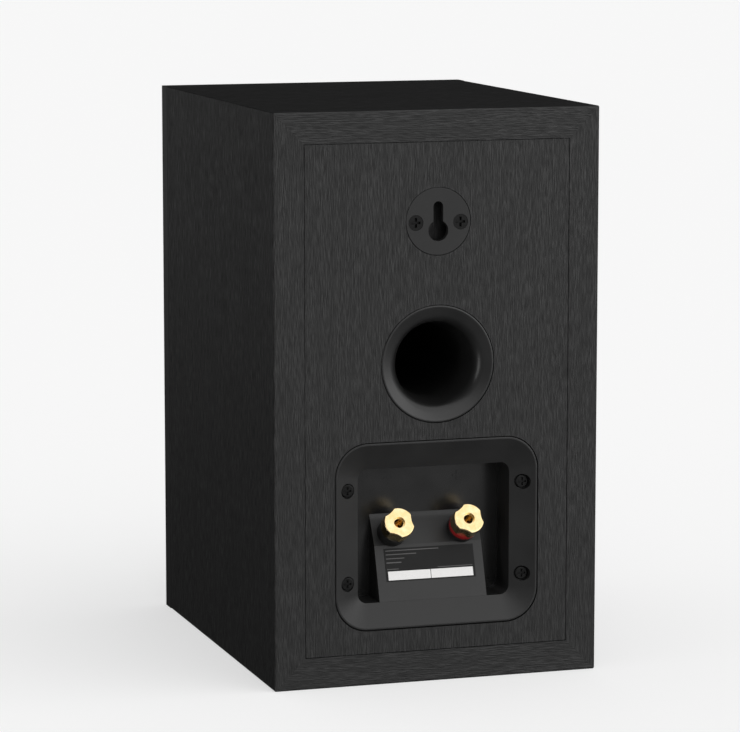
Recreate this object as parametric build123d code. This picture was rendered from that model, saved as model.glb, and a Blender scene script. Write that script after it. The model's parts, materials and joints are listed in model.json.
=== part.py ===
from build123d import *
from math import atan2, cos, degrees, pi, radians, sin, sqrt, tan
import os

# Two-way bookshelf loudspeaker. Millimetres, +Z up.
# Origin: centre of the base. The baffle faces -Y, the terminals face +Y.

# ---- cabinet ----
CABINET_WIDTH = 140.0
CABINET_DEPTH = 180.0
CABINET_HEIGHT = 237.0
PANEL = 13.0
BAFFLE_FLANGE = 10.5
BAFFLE_PLUG = 6.0
PLUG_CLEARANCE = 0.2
EDGE_RADIUS = 0.7
BAFFLE_FRONT_RADIUS = 1.6
BAFFLE_BACK_RADIUS = 0.8
SEAM_CHAMFER = 0.35

FRONT_Y = -CABINET_DEPTH / 2
REAR_Y = CABINET_DEPTH / 2
BOX_FRONT_Y = FRONT_Y + BAFFLE_FLANGE
PLUG_BACK_Y = BOX_FRONT_Y + BAFFLE_PLUG
REAR_INNER_Y = REAR_Y - PANEL
INNER_WIDTH = CABINET_WIDTH - 2 * PANEL
INNER_HEIGHT = CABINET_HEIGHT - 2 * PANEL
MID_Z = CABINET_HEIGHT / 2
CUT = 1.0                       # how far a cutter runs past the face it opens

# ---- woofer: depths are measured back from the baffle's front face ----
WOOFER_Z = 73.0
WOOFER_RADIUS = 60.0
WOOFER_RECESS = 4.0
WOOFER_CUTOUT = 50.5
WOOFER_TRIM = 1.5
WOOFER_SCREW_CIRCLE = 55.0
WOOFER_SCREWS = 4
WOOFER_SCREW_HEAD = 3.4
WOOFER_SCREW_SHAFT = 1.9
WOOFER_SCREW_LENGTH = 12.0
WOOFER_HEAD_SEAT = 2.3
BASKET_BACK = 33.0
BASKET_NECK = 36.5
BASKET_BARREL = 49.8
BASKET_MOUTH = 48.3
BASKET_WALL = 1.5
BASKET_WINDOWS = 6
BASKET_WINDOW_SIZE = (26.0, 11.0, 27.0)
BASKET_WINDOW_RADIUS = 42.0
BASKET_WINDOW_DEPTH = 16.5
LEDGE_DEPTH = 6.0
LEDGE_INNER = 44.8
SPIDER_SEAT_DEPTH = 25.0
SPIDER_SEAT_INNER = 30.5
ROLL_RADIUS = 41.7
ROLL_OUTER = 3.6
ROLL_THICKNESS = 0.8
CONE_EDGE = 38.1
CONE_THICKNESS = 0.9
FORMER_OUTER = 13.0
FORMER_WALL = 0.4
COIL_BUILD = 0.6
COIL_LENGTH = 10.0
MAGNETIC_GAP = 0.4
TOP_PLATE = 5.0
WOOFER_MAGNET = 15.0
WOOFER_MAGNET_RADIUS = 38.0
PLATE_RADIUS = 36.0
CONE_NECK_DEPTH = 20.0
SPIDER_DEPTH = 24.4
SPIDER_WAVES = 3
SPIDER_OUTER = 33.6
SPIDER_INNER_FLAT = 1.6
SPIDER_OUTER_FLAT = 3.6
SPIDER_WALL = 0.5
SPIDER_WAVE = 1.1
MAGNET_BORE = 18.0
POLE_VENT = 4.0
DUST_CAP_RADIUS = 15.2
DUST_CAP_RISE = 4.6
DUST_CAP_WALL = 0.8
DUST_CAP_BASE = 17.7
STRIP_THICK = 1.6
STRIP_DEPTH = 29.0
TAG_SPACING = 8.0

# ---- tweeter ----
TWEETER_Z = 184.0
TWEETER_RADIUS = 45.0
TWEETER_RECESS = 3.0
TWEETER_CUTOUT = 36.0
TWEETER_SCREW_CIRCLE = 39.5
TWEETER_SCREWS = 4
DOME_RADIUS = 12.5
DOME_RISE = 4.4
DOME_WALL = 0.4
DOME_BASE = 5.1
TWEETER_SCREW_HEAD = 2.9
TWEETER_SCREW_SHAFT = 1.6
TWEETER_SCREW_LENGTH = 10.5
TWEETER_HEAD_SEAT = 1.9
FACEPLATE_BACK = 5.0
FACEPLATE_BARREL = 34.0
WAVEGUIDE_THROAT = 17.2
WAVEGUIDE_MOUTH = 27.0
WAVEGUIDE_DEPTH = 4.0
TWEETER_PLATE_FRONT = 5.6
TWEETER_PLATE = 4.0
TWEETER_PLATE_RADIUS = 32.0
TWEETER_MAGNET = 10.0
TWEETER_MAGNET_RADIUS = 33.0
TWEETER_MAGNET_BORE = 16.0
TWEETER_COIL_WALL = 0.45
TWEETER_GAP = 0.35
TWEETER_ROLL = 1.75
TWEETER_LIP = 0.4
TWEETER_LIP_RADIUS = 20.0

# ---- grille sockets in the baffle's corners ----
SOCKET_X = 61.0
SOCKET_LOW_Z = 9.0
SOCKET_HIGH_Z = CABINET_HEIGHT - SOCKET_LOW_Z
SOCKET_BORE = 3.0
SOCKET_OUTER = 4.6
SOCKET_RIM = 5.4
SOCKET_RIM_THICK = 1.0
SOCKET_LENGTH = 9.0
SOCKET_FLOOR = 1.2

# ---- keyhole plate ----
KEYHOLE_PLATE_Z = 191.3
KEYHOLE_PLATE_RADIUS = 13.9
KEYHOLE_PLATE_THICK = 2.5
KEYHOLE_ENTRY_Z = 187.5
KEYHOLE_ENTRY_RADIUS = 4.3
KEYHOLE_SLOT_HALF = 2.1
KEYHOLE_SLOT_TOP_Z = 199.5
KEYHOLE_POCKET_DEPTH = 8.0
KEYHOLE_POCKET_WIDTH = 12.0
KEYHOLE_SCREW_X = 9.6
KEYHOLE_SCREW_Z = 190.9
KEYHOLE_SCREW_HEAD = 3.1
KEYHOLE_SCREW_SHAFT = 1.5
KEYHOLE_SCREW_LENGTH = 8.5
KEYHOLE_SCREW_SINK = 0.2
HEAD_RIM = 0.4                  # straight edge of a countersunk head

# ---- reflex port ----
PORT_Z = 132.6
PORT_FLANGE_RADIUS = 24.3
PORT_FLANGE_THICK = 2.5
PORT_LIP = 1.1
PORT_BORE = 15.0
PORT_DISH_RADIUS = 19.9         # inner edge of the shallow dish inside the ring
PORT_DISH_DEPTH = 1.3
PORT_SHOULDER = 3.0             # radius of the rounded shoulder below the dish
PORT_THROAT_SLOPE = 72.0        # degrees from the rear face
PORT_HUB_RADIUS = 19.4
PORT_HUB_LENGTH = 11.0
PORT_WALL = 2.0
PORT_LENGTH = 110.0

# ---- terminal cup: depths are measured in from the rear face ----
CUP_WIDTH = 87.8
CUP_HEIGHT = 78.0
CUP_Z = 62.0
CUP_CORNER = 14.0
CUP_LIP = 0.9
CUP_LIP_DEPTH = 0.5
CUP_FLANGE = 5.2
CUP_WALL = 2.5
POCKET_HALF = 33.0
POCKET_LOW_Z = 33.5
POCKET_HIGH_Z = 89.5
POCKET_CORNER = 4.0
POCKET_DEPTH = 19.5
DISH_DEPTH = 4.7
GASKET = 1.0
CUP_SCREW_X = 38.0
CUP_SCREW_HIGH_Z = 81.3
CUP_SCREW_LOW_Z = 42.5
CUP_SCREW_HEAD = 2.8
CUP_SCREW_HEAD_HEIGHT = 1.2
CUP_SCREW_HOLE = 3.2
CUP_SCREW_SHAFT = 1.5
CUP_SCREW_SEAT = 4.1
CUP_SCREW_LENGTH = 8.0
TONGUE_HALF = 23.4
TONGUE_FOOT = (4.9, POCKET_LOW_Z)      # depth, height
TONGUE_CREASE = (12.4, 55.7)
TONGUE_TOP = (POCKET_DEPTH, 67.9)
MARK_Z = 82.5
MARK_LENGTH = 4.0
MARK_WIDTH = 0.8
MARK_PROUD = 0.3
LABEL_WIDTH = 39.0
LABEL_HEIGHT = 13.8
LABEL_THICK = 0.15
LABEL_BELOW_CREASE = 1.4

# ---- binding posts: distances are measured out from the tongue's upper face ----
POST_X = 15.2
POST_CREASE_DISTANCE = 5.3
POST_RADIUS = 3.0
POST_CLEARANCE = 0.06
POST_BORE_RADIUS = POST_RADIUS + POST_CLEARANCE
WIRE_HOLE_RADIUS = 1.4
SOCKET_4MM = 2.0
PLUG_REACH = 7.0                # how far the 4 mm bore runs behind the tongue's face
CLAMP_TRAVEL = 3.75             # five turns of the nut
BASE_RADIUS = 6.0
BASE_THICK = 4.0
BUSH_RADIUS = 3.9
COLLAR_RADIUS = 6.3
COLLAR_HEIGHT = 3.0
NUT_HEIGHT = 6.0
NUT_RADIUS = 6.5
NUT_MOUTH = 2.45
NUT_LIP = 1.1
SCALLOPS = 3
SCALLOP_RADIUS = 9.0
SCALLOP_CENTRE = 14.6
SCALLOP_START = 6.0
INNER_WASHER = 1.0
TAG_THICK = 0.8
HEX_NUT_HEIGHT = 3.0
HEX_NUT_RADIUS = 5.1
POST_TAIL = 1.2

# ---- crossover ----
BOARD_WIDTH = 76.0
BOARD_HEIGHT = 64.0
BOARD_THICK = 1.6
BOARD_Z = 62.0
STANDOFF = 8.0
STANDOFF_RADIUS = 3.0
STANDOFF_X = 30.0
STANDOFF_DZ = 25.0
BOARD_SCREW_SHAFT = 1.3
BOARD_SCREW_LENGTH = 6.5
INDUCTORS = (
    # x, z, flange radius, core radius, height
    (-18.0, 71.0, 16.0, 7.0, 16.0),
    (20.0, 74.0, 11.5, 5.0, 13.0),
)
BOBBIN_FLANGE = 1.2
CORE_WALL = 1.5
FILM_CAPACITORS = (
    # radius, length, x, z
    (6.0, 26.0, -18.0, 47.0),
    (5.0, 22.0, 18.0, 54.0),
)
ELECTROLYTIC = (6.5, 28.0, 12.0, 41.0)
RESISTOR_SIZE = (22.0, 9.0, 9.0)
RESISTOR_PLACE = (-16.0, 35.5)
CUP_BACK_Y = REAR_Y - POCKET_DEPTH - CUP_WALL
BOARD_BACK_Y = CUP_BACK_Y - STANDOFF
BOARD_FRONT_Y = BOARD_BACK_Y - BOARD_THICK

# ---- wires and wadding ----
WIRE_DIAMETER = 2.0
WADDING = 10.0
WADDING_FRONT_Y = -20.0
WADDING_BACK_Y = 52.0
WADDING_LOW_Z = 30.0
WADDING_GAP = 0.4
WADDING_FOLD = 6.0


# ================================================================ helpers
def slab(sketch, y_low, y_high):
    """A sketch drawn in X and Z, as a solid between two Y planes."""
    return extrude(Plane.XZ.offset(-y_high) * sketch, y_high - y_low)


def rod_y(radius, x, z, y_low, y_high):
    """A round bar along Y."""
    return slab(Pos(x, z) * Circle(radius), y_low, y_high)


def outline(start, *steps):
    """A closed face. A step is an end point, or a mid point and an end point for an arc."""
    edges = []
    here = start
    for step in steps:
        if isinstance(step[0], tuple):
            edges.append(ThreePointArc(here, step[0], step[1]))
            here = step[1]
        else:
            edges.append(Line(here, step))
            here = step
    edges.append(Line(here, start))
    return make_face(edges)


def turned(face, axis_z):
    """A face drawn as (radius, Y), turned about the line parallel to Y at height axis_z."""
    return revolve(Pos(0, 0, axis_z) * face, Axis((0, 0, axis_z), (0, 1, 0)))


def behind_baffle(*points):
    """Turns (radius, depth behind the baffle's face) points into (radius, Y) points."""
    return [(radius, FRONT_Y + depth) for radius, depth in points]


def driver_part(axis_z, *points):
    """A turned driver part from straight-sided (radius, depth) points."""
    start, *rest = behind_baffle(*points)
    return turned(outline(start, *rest), axis_z)


def turned_ring(axis_z, outer, inner, front, back):
    """A plain ring between two depths behind the baffle's face."""
    return driver_part(axis_z, (outer, front), (outer, back), (inner, back), (inner, front))


def around(count, radius, axis_z, start_angle):
    """Centres of equally spaced features on a circle in the XZ plane."""
    places = []
    for index in range(count):
        angle = radians(start_angle + index * 360 / count)
        places.append((radius * cos(angle), axis_z + radius * sin(angle)))
    return places


def cross_recess(width, depth):
    """Cutter for a cross-head screw: two crossed blades in XY, depth down from z = 0."""
    blade = width / 4
    long_blade = Pos(0, 0, -depth / 2) * Box(width, blade, depth)
    return long_blade + Rot(0, 0, 90) * long_blade


def countersunk_screw(head_radius, shaft_radius, length):
    """A screw along -Z with its flat head's top at z = 0."""
    taper = head_radius - shaft_radius
    shaft_top = -HEAD_RIM - taper
    shaft_low = shaft_radius - length
    head = Pos(0, 0, -HEAD_RIM / 2) * Cylinder(head_radius, HEAD_RIM)
    cone = Pos(0, 0, shaft_top + taper / 2) * Cone(shaft_radius, head_radius, taper)
    shaft = Pos(0, 0, (shaft_top + shaft_low) / 2) * Cylinder(shaft_radius, shaft_top - shaft_low)
    point = Pos(0, 0, shaft_low - shaft_radius / 2) * Cone(shaft_radius / 3, shaft_radius, shaft_radius)
    return head + cone + shaft + point - cross_recess(head_radius * 1.3, shaft_radius * 0.8)


def pan_screw(head_radius, head_height, shaft_radius, length):
    """A screw along -Z whose head sits on z = 0."""
    head = Pos(0, 0, head_height / 2) * Cylinder(head_radius, head_height)
    head = fillet(head.edges().group_by(Axis.Z)[-1], head_height * 0.45)
    shaft = Pos(0, 0, -length / 2) * Cylinder(shaft_radius, length)
    return head + shaft - Pos(0, 0, head_height) * cross_recess(head_radius * 1.2, head_height * 0.6)


def facing_rear(x, y, z):
    """Local +Z points out of the rear face."""
    return Plane(origin=(x, y, z), x_dir=(-1, 0, 0), z_dir=(0, 1, 0))


def facing_front(x, y, z):
    """Local +Z points out of the baffle."""
    return Plane(origin=(x, y, z), x_dir=(1, 0, 0), z_dir=(0, -1, 0))


def cut_all(solid, cutters):
    for cutter in cutters:
        solid -= cutter
    return solid


# ================================================================ cabinet
def outer_block():
    """The cabinet's outside, with its long edges and rear edges slightly eased."""
    depth = REAR_Y - BOX_FRONT_Y
    block = Pos(0, (REAR_Y + BOX_FRONT_Y) / 2, MID_Z) * Box(CABINET_WIDTH, depth, CABINET_HEIGHT)
    front_edges = block.edges().group_by(Axis.Y)[0]
    eased = [edge for edge in block.edges() if edge not in front_edges]
    return fillet(eased, EDGE_RADIUS)


def wall_panels():
    """Four walls mitred at 45 degrees along the box's long edges."""
    half_width = CABINET_WIDTH / 2
    half_height = CABINET_HEIGHT / 2
    in_x = half_width - PANEL
    in_z = half_height - PANEL
    side = [(half_width, -half_height), (half_width, half_height), (in_x, in_z), (in_x, -in_z)]
    cap = [(-half_width, half_height), (half_width, half_height), (in_x, in_z), (-in_x, in_z)]
    shapes = {
        "side_panel_right": side,
        "side_panel_left": [(-x, z) for x, z in side],
        "top_panel": cap,
        "bottom_panel": [(x, -z) for x, z in cap],
    }
    block = outer_block()
    walls = {}
    for name, points in shapes.items():
        face = Pos(0, MID_Z) * make_face(Polyline(*points, close=True))
        walls[name] = slab(face, BOX_FRONT_Y, REAR_Y) & block
    return walls


def front_baffle():
    flange = slab(Pos(0, MID_Z) * Rectangle(CABINET_WIDTH, CABINET_HEIGHT), FRONT_Y, BOX_FRONT_Y)
    flange = fillet(flange.edges().group_by(Axis.Y)[0], BAFFLE_FRONT_RADIUS)
    flange = fillet(flange.edges().group_by(Axis.Y)[-1], BAFFLE_BACK_RADIUS)
    plug_size = (INNER_WIDTH - 2 * PLUG_CLEARANCE, INNER_HEIGHT - 2 * PLUG_CLEARANCE)
    baffle = flange + slab(Pos(0, MID_Z) * Rectangle(*plug_size), BOX_FRONT_Y, PLUG_BACK_Y)
    cutters = [
        rod_y(WOOFER_RADIUS + 0.3, 0, WOOFER_Z, FRONT_Y - CUT, FRONT_Y + WOOFER_RECESS),
        rod_y(WOOFER_CUTOUT, 0, WOOFER_Z, FRONT_Y - CUT, PLUG_BACK_Y + CUT),
        rod_y(TWEETER_RADIUS + 0.3, 0, TWEETER_Z, FRONT_Y - CUT, FRONT_Y + TWEETER_RECESS),
        rod_y(TWEETER_CUTOUT, 0, TWEETER_Z, FRONT_Y - CUT, PLUG_BACK_Y + CUT),
    ]
    for x, z in around(WOOFER_SCREWS, WOOFER_SCREW_CIRCLE, WOOFER_Z, 45):
        cutters.append(rod_y(WOOFER_SCREW_SHAFT, x, z, FRONT_Y, FRONT_Y + WOOFER_SCREW_LENGTH + 4))
    for x, z in around(TWEETER_SCREWS, TWEETER_SCREW_CIRCLE, TWEETER_Z, 45):
        cutters.append(rod_y(TWEETER_SCREW_SHAFT, x, z, FRONT_Y, FRONT_Y + TWEETER_SCREW_LENGTH + 2.5))
    for x, z in socket_places():
        cutters.append(rod_y(SOCKET_OUTER, x, z, FRONT_Y - CUT, FRONT_Y + SOCKET_LENGTH))
        cutters.append(rod_y(SOCKET_RIM, x, z, FRONT_Y - CUT, FRONT_Y + SOCKET_RIM_THICK))
    return cut_all(baffle, cutters)


def rear_panel():
    body = slab(Pos(0, MID_Z) * Rectangle(INNER_WIDTH, INNER_HEIGHT), REAR_INNER_Y, REAR_Y)
    body = chamfer(body.edges().group_by(Axis.Y)[-1], SEAM_CHAMFER)
    past = REAR_Y + CUT
    plate_seat = REAR_Y - KEYHOLE_PLATE_THICK
    slot_end = KEYHOLE_SLOT_TOP_Z - KEYHOLE_SLOT_HALF
    pocket = SlotCenterToCenter(slot_end - KEYHOLE_ENTRY_Z, KEYHOLE_POCKET_WIDTH, rotation=90)
    pocket_mid = (slot_end + KEYHOLE_ENTRY_Z) / 2
    cup_body = RectangleRounded(2 * (POCKET_HALF + CUP_WALL) + 0.6, cup_body_height() + 0.6, 6.3)
    cup_recess = RectangleRounded(CUP_WIDTH + 0.6, CUP_HEIGHT + 0.6, CUP_CORNER + 0.3)
    cutters = [
        rod_y(KEYHOLE_PLATE_RADIUS + 0.15, 0, KEYHOLE_PLATE_Z, plate_seat, past),
        slab(Pos(0, pocket_mid) * pocket, REAR_Y - KEYHOLE_POCKET_DEPTH, past),
        rod_y(PORT_FLANGE_RADIUS + 0.2, 0, PORT_Z, REAR_Y - PORT_FLANGE_THICK, past),
        rod_y(PORT_HUB_RADIUS + 0.2, 0, PORT_Z, REAR_INNER_Y - CUT, past),
        slab(Pos(0, CUP_Z) * cup_recess, REAR_Y - CUP_FLANGE - GASKET, past),
        slab(Pos(0, pocket_z()) * cup_body, REAR_INNER_Y - CUT, past),
    ]
    for x in (-KEYHOLE_SCREW_X, KEYHOLE_SCREW_X):
        tip_y = REAR_Y - KEYHOLE_SCREW_LENGTH - 0.5
        cutters.append(rod_y(KEYHOLE_SCREW_SHAFT, x, KEYHOLE_SCREW_Z, tip_y, past))
    for x, z in cup_screw_places():
        tip_y = REAR_Y - CUP_SCREW_SEAT - CUP_SCREW_LENGTH
        cutters.append(rod_y(CUP_SCREW_SHAFT, x, z, tip_y, past))
    return cut_all(body, cutters)


# ================================================================ grille sockets
def socket_places():
    return [(x, z) for x in (-SOCKET_X, SOCKET_X) for z in (SOCKET_LOW_Z, SOCKET_HIGH_Z)]


def grille_sockets():
    sockets = []
    for x, z in socket_places():
        body = rod_y(SOCKET_OUTER - 0.02, x, z, FRONT_Y + 0.3, FRONT_Y + SOCKET_LENGTH)
        rim = rod_y(SOCKET_RIM - 0.05, x, z, FRONT_Y + 0.1, FRONT_Y + SOCKET_RIM_THICK)
        bore = rod_y(SOCKET_BORE, x, z, FRONT_Y - CUT, FRONT_Y + SOCKET_LENGTH - SOCKET_FLOOR)
        sockets.append(body + rim - bore)
    return sockets


# ================================================================ keyhole plate
def keyhole_plate():
    plate = rod_y(KEYHOLE_PLATE_RADIUS, 0, KEYHOLE_PLATE_Z, REAR_Y - KEYHOLE_PLATE_THICK, REAR_Y)
    plate = fillet(plate.edges().group_by(Axis.Y)[-1], 0.3)
    slot_end = KEYHOLE_SLOT_TOP_Z - KEYHOLE_SLOT_HALF
    slot_length = slot_end - KEYHOLE_ENTRY_Z
    slot = SlotCenterToCenter(slot_length, 2 * KEYHOLE_SLOT_HALF, rotation=90)
    hole = Pos(0, KEYHOLE_ENTRY_Z) * Circle(KEYHOLE_ENTRY_RADIUS)
    hole += Pos(0, KEYHOLE_ENTRY_Z + slot_length / 2) * slot
    plate -= slab(hole, REAR_Y - KEYHOLE_PLATE_THICK - CUT, REAR_Y + CUT)
    shaft_hole = KEYHOLE_SCREW_SHAFT + 0.1
    head_hole = KEYHOLE_SCREW_HEAD + 0.1
    taper = KEYHOLE_SCREW_HEAD - KEYHOLE_SCREW_SHAFT
    for place in keyhole_screw_frames():
        plate -= place * Cylinder(shaft_hole, 4 * KEYHOLE_PLATE_THICK)
        plate -= place * Pos(0, 0, -HEAD_RIM - taper / 2) * Cone(shaft_hole, head_hole, taper)
        plate -= place * Cylinder(head_hole, 2 * HEAD_RIM)
    return plate


def keyhole_screw_frames():
    head_y = REAR_Y - KEYHOLE_SCREW_SINK
    return [facing_rear(x, head_y, KEYHOLE_SCREW_Z) for x in (-KEYHOLE_SCREW_X, KEYHOLE_SCREW_X)]


def keyhole_screws():
    screw = countersunk_screw(KEYHOLE_SCREW_HEAD, KEYHOLE_SCREW_SHAFT, KEYHOLE_SCREW_LENGTH)
    return [place * screw for place in keyhole_screw_frames()]


# ================================================================ reflex port
def port_mouth():
    """The mouth from the ring to the bore, as (radius, depth): dish, rounded shoulder, sloping throat."""
    dish_start = PORT_FLANGE_RADIUS - PORT_LIP
    dish_slope = atan2(PORT_DISH_DEPTH, dish_start - PORT_DISH_RADIUS)
    throat_slope = radians(PORT_THROAT_SLOPE)
    centre_radius = PORT_DISH_RADIUS + PORT_SHOULDER * sin(dish_slope)
    centre_depth = PORT_DISH_DEPTH + PORT_SHOULDER * cos(dish_slope)

    def on_shoulder(slope):
        radius = centre_radius - PORT_SHOULDER * sin(slope)
        return radius, centre_depth - PORT_SHOULDER * cos(slope)

    middle = on_shoulder((dish_slope + throat_slope) / 2)
    throat = on_shoulder(throat_slope)
    bore_depth = throat[1] + (throat[0] - PORT_BORE) * tan(throat_slope)
    return (dish_start, 0.0), (PORT_DISH_RADIUS, PORT_DISH_DEPTH), middle, throat, (PORT_BORE, bore_depth)


def port_tube():
    """One moulding: a flush ring, a dished and rounded mouth, and the tuned tube."""
    outer_tube = PORT_BORE + PORT_WALL
    dish_start, dish_end, shoulder, throat, bore = [
        (radius, REAR_Y - depth) for radius, depth in port_mouth()
    ]
    inner_flare = 5.0
    end_y = REAR_Y - PORT_LENGTH
    hub_y = REAR_Y - PORT_HUB_LENGTH
    face = outline(
        dish_start,
        dish_end,
        (shoulder, throat),
        bore,
        (PORT_BORE, end_y + inner_flare),
        (PORT_BORE + inner_flare * 0.7, end_y),
        (outer_tube + inner_flare * 0.7, end_y),
        (outer_tube, end_y + inner_flare),
        (outer_tube, hub_y - 2.5),
        (PORT_HUB_RADIUS, hub_y),
        (PORT_HUB_RADIUS, REAR_Y - PORT_FLANGE_THICK),
        (PORT_FLANGE_RADIUS, REAR_Y - PORT_FLANGE_THICK),
        (PORT_FLANGE_RADIUS, REAR_Y),
    )
    tube = turned(face, PORT_Z)
    rims = [e for e in tube.edges().group_by(Axis.Y)[-1] if e.geom_type == GeomType.CIRCLE]
    return fillet(rims, 0.4)


# ================================================================ terminal cup
def pocket_z():
    return (POCKET_LOW_Z + POCKET_HIGH_Z) / 2


def cup_body_height():
    return POCKET_HIGH_Z - POCKET_LOW_Z + 2 * CUP_WALL


def cup_screw_places():
    return [(x, z) for x in (-CUP_SCREW_X, CUP_SCREW_X) for z in (CUP_SCREW_LOW_Z, CUP_SCREW_HIGH_Z)]


def post_tilt():
    """The tongue's upper face leans back, so the posts point up by this angle in degrees."""
    run = TONGUE_TOP[0] - TONGUE_CREASE[0]
    rise = TONGUE_TOP[1] - TONGUE_CREASE[1]
    return degrees(atan2(run, rise))


def post_frame(x):
    """Origin on the tongue's upper face, local +Z out along the post, local Y up the face."""
    tilt = radians(post_tilt())
    depth = TONGUE_CREASE[0] + POST_CREASE_DISTANCE * sin(tilt)
    height = TONGUE_CREASE[1] + POST_CREASE_DISTANCE * cos(tilt)
    return Plane(origin=(x, REAR_Y - depth, height), x_dir=(-1, 0, 0), z_dir=(0, cos(tilt), sin(tilt)))


def tongue_prism(half_width, shift_depth, shift_height):
    """The wedge that carries the posts and the label, or its hollow when shifted."""
    back = POCKET_DEPTH + 2 * CUP_WALL
    points = [
        TONGUE_FOOT,
        TONGUE_CREASE,
        TONGUE_TOP,
        (back, TONGUE_TOP[1]),
        (back, TONGUE_FOOT[1]),
    ]
    places = [(REAR_Y - depth - shift_depth, height + shift_height) for depth, height in points]
    face = Plane.YZ * make_face(Polyline(*places, close=True))
    return extrude(face, half_width, both=True)


def hollow_shift():
    """Depth and height that move both tongue faces in by exactly one wall."""
    upper = radians(post_tilt())
    lower = atan2(TONGUE_CREASE[0] - TONGUE_FOOT[0], TONGUE_CREASE[1] - TONGUE_FOOT[1])
    down = CUP_WALL * (cos(lower) - cos(upper)) / sin(upper - lower)
    depth = (CUP_WALL - down * sin(lower)) / cos(lower)
    return depth, -down


def terminal_cup():
    outline_sketch = Pos(0, CUP_Z) * RectangleRounded(CUP_WIDTH, CUP_HEIGHT, CUP_CORNER)
    flange = slab(outline_sketch, REAR_Y - CUP_FLANGE, REAR_Y)
    flange = fillet(flange.edges().group_by(Axis.Y)[-1], CUP_LIP_DEPTH)
    body_sketch = RectangleRounded(2 * (POCKET_HALF + CUP_WALL), cup_body_height(), 6.0)
    cup = flange + slab(Pos(0, pocket_z()) * body_sketch, CUP_BACK_Y, REAR_Y - CUP_FLANGE)

    lip = 2 * CUP_LIP
    mouth = RectangleRounded(CUP_WIDTH - lip, CUP_HEIGHT - lip, CUP_CORNER - CUP_LIP)
    throat = RectangleRounded(2 * POCKET_HALF, POCKET_HIGH_Z - POCKET_LOW_Z, POCKET_CORNER)
    mouth_face = Plane.XZ.offset(-REAR_Y) * Pos(0, CUP_Z) * mouth
    throat_face = Plane.XZ.offset(DISH_DEPTH - REAR_Y) * Pos(0, pocket_z()) * throat
    cup -= loft([mouth_face, throat_face])

    pocket = slab(Pos(0, pocket_z()) * throat, REAR_Y - POCKET_DEPTH, REAR_Y + CUT)
    cup -= pocket - tongue_prism(TONGUE_HALF, 0, 0)

    shift_depth, shift_height = hollow_shift()
    hollow = tongue_prism(TONGUE_HALF - CUP_WALL, shift_depth, shift_height)
    above_floor = Pos(0, 0, POCKET_LOW_Z + 100) * Box(200, 200, 200)
    cup -= hollow & above_floor

    for x in (-POST_X, POST_X):
        cup -= post_frame(x) * Cylinder(BUSH_RADIUS + POST_CLEARANCE, 4 * CUP_WALL)
    for x, z in cup_screw_places():
        cup -= rod_y(CUP_SCREW_HOLE, x, z, REAR_Y - CUP_SCREW_SEAT, REAR_Y + CUT)
        cup -= rod_y(CUP_SCREW_SHAFT + 0.2, x, z, REAR_Y - CUP_FLANGE - CUT, REAR_Y)
    for solid in polarity_marks():
        cup += solid
    return cup


def polarity_marks():
    """Moulded minus above the black post and plus above the red one."""
    wall_y = REAR_Y - POCKET_DEPTH
    bar = Rectangle(MARK_LENGTH, MARK_WIDTH)
    plus = bar + Rectangle(MARK_WIDTH, MARK_LENGTH)
    minus_solid = slab(Pos(POST_X, MARK_Z) * bar, wall_y - 0.2, wall_y + MARK_PROUD)
    plus_solid = slab(Pos(-POST_X, MARK_Z) * plus, wall_y - 0.2, wall_y + MARK_PROUD)
    return [minus_solid, plus_solid]


def terminal_gasket():
    outer = RectangleRounded(CUP_WIDTH, CUP_HEIGHT, CUP_CORNER)
    inner = RectangleRounded(2 * (POCKET_HALF + CUP_WALL) + 0.4, cup_body_height() + 0.4, 6.2)
    ring = slab(Pos(0, CUP_Z) * outer, REAR_Y - CUP_FLANGE - GASKET, REAR_Y - CUP_FLANGE)
    ring -= slab(Pos(0, pocket_z()) * inner, REAR_Y - 3 * CUP_FLANGE, REAR_Y)
    for x, z in cup_screw_places():
        ring -= rod_y(CUP_SCREW_SHAFT + 0.2, x, z, REAR_Y - 3 * CUP_FLANGE, REAR_Y)
    return ring


def terminal_screws():
    shaft = CUP_SCREW_SHAFT - 0.02
    screw = pan_screw(CUP_SCREW_HEAD, CUP_SCREW_HEAD_HEIGHT, shaft, CUP_SCREW_LENGTH)
    seat_y = REAR_Y - CUP_SCREW_SEAT
    return [facing_rear(x, seat_y, z) * screw for x, z in cup_screw_places()]


def terminal_label():
    """A blank rating label stuck on the tongue's lower face."""
    run = TONGUE_CREASE[0] - TONGUE_FOOT[0]
    rise = TONGUE_CREASE[1] - TONGUE_FOOT[1]
    lean = atan2(run, rise)
    down = LABEL_BELOW_CREASE + LABEL_HEIGHT / 2
    depth = TONGUE_CREASE[0] - down * sin(lean)
    height = TONGUE_CREASE[1] - down * cos(lean)
    face = Plane(origin=(0, REAR_Y - depth, height), x_dir=(-1, 0, 0), z_dir=(0, cos(lean), sin(lean)))
    return face * Pos(0, 0, LABEL_THICK / 2 + 0.01) * Box(LABEL_WIDTH, LABEL_HEIGHT, LABEL_THICK)


# ================================================================ binding posts
def ring_between(outer, inner, low, high):
    middle = (low + high) / 2
    return Pos(0, 0, middle) * (Cylinder(outer, high - low) - Cylinder(inner, high - low + 2 * CUT))


def stack():
    """Heights along the post axis, from the tongue's outer face."""
    collar_low = BASE_THICK
    nut_low = collar_low + COLLAR_HEIGHT
    nut_high = nut_low + NUT_HEIGHT
    post_tip = nut_high - NUT_LIP - 0.2
    tag_high = -CUP_WALL - INNER_WASHER
    hex_high = tag_high - TAG_THICK
    hex_low = hex_high - HEX_NUT_HEIGHT
    return collar_low, nut_low, nut_high, post_tip, tag_high, hex_high, hex_low


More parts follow.
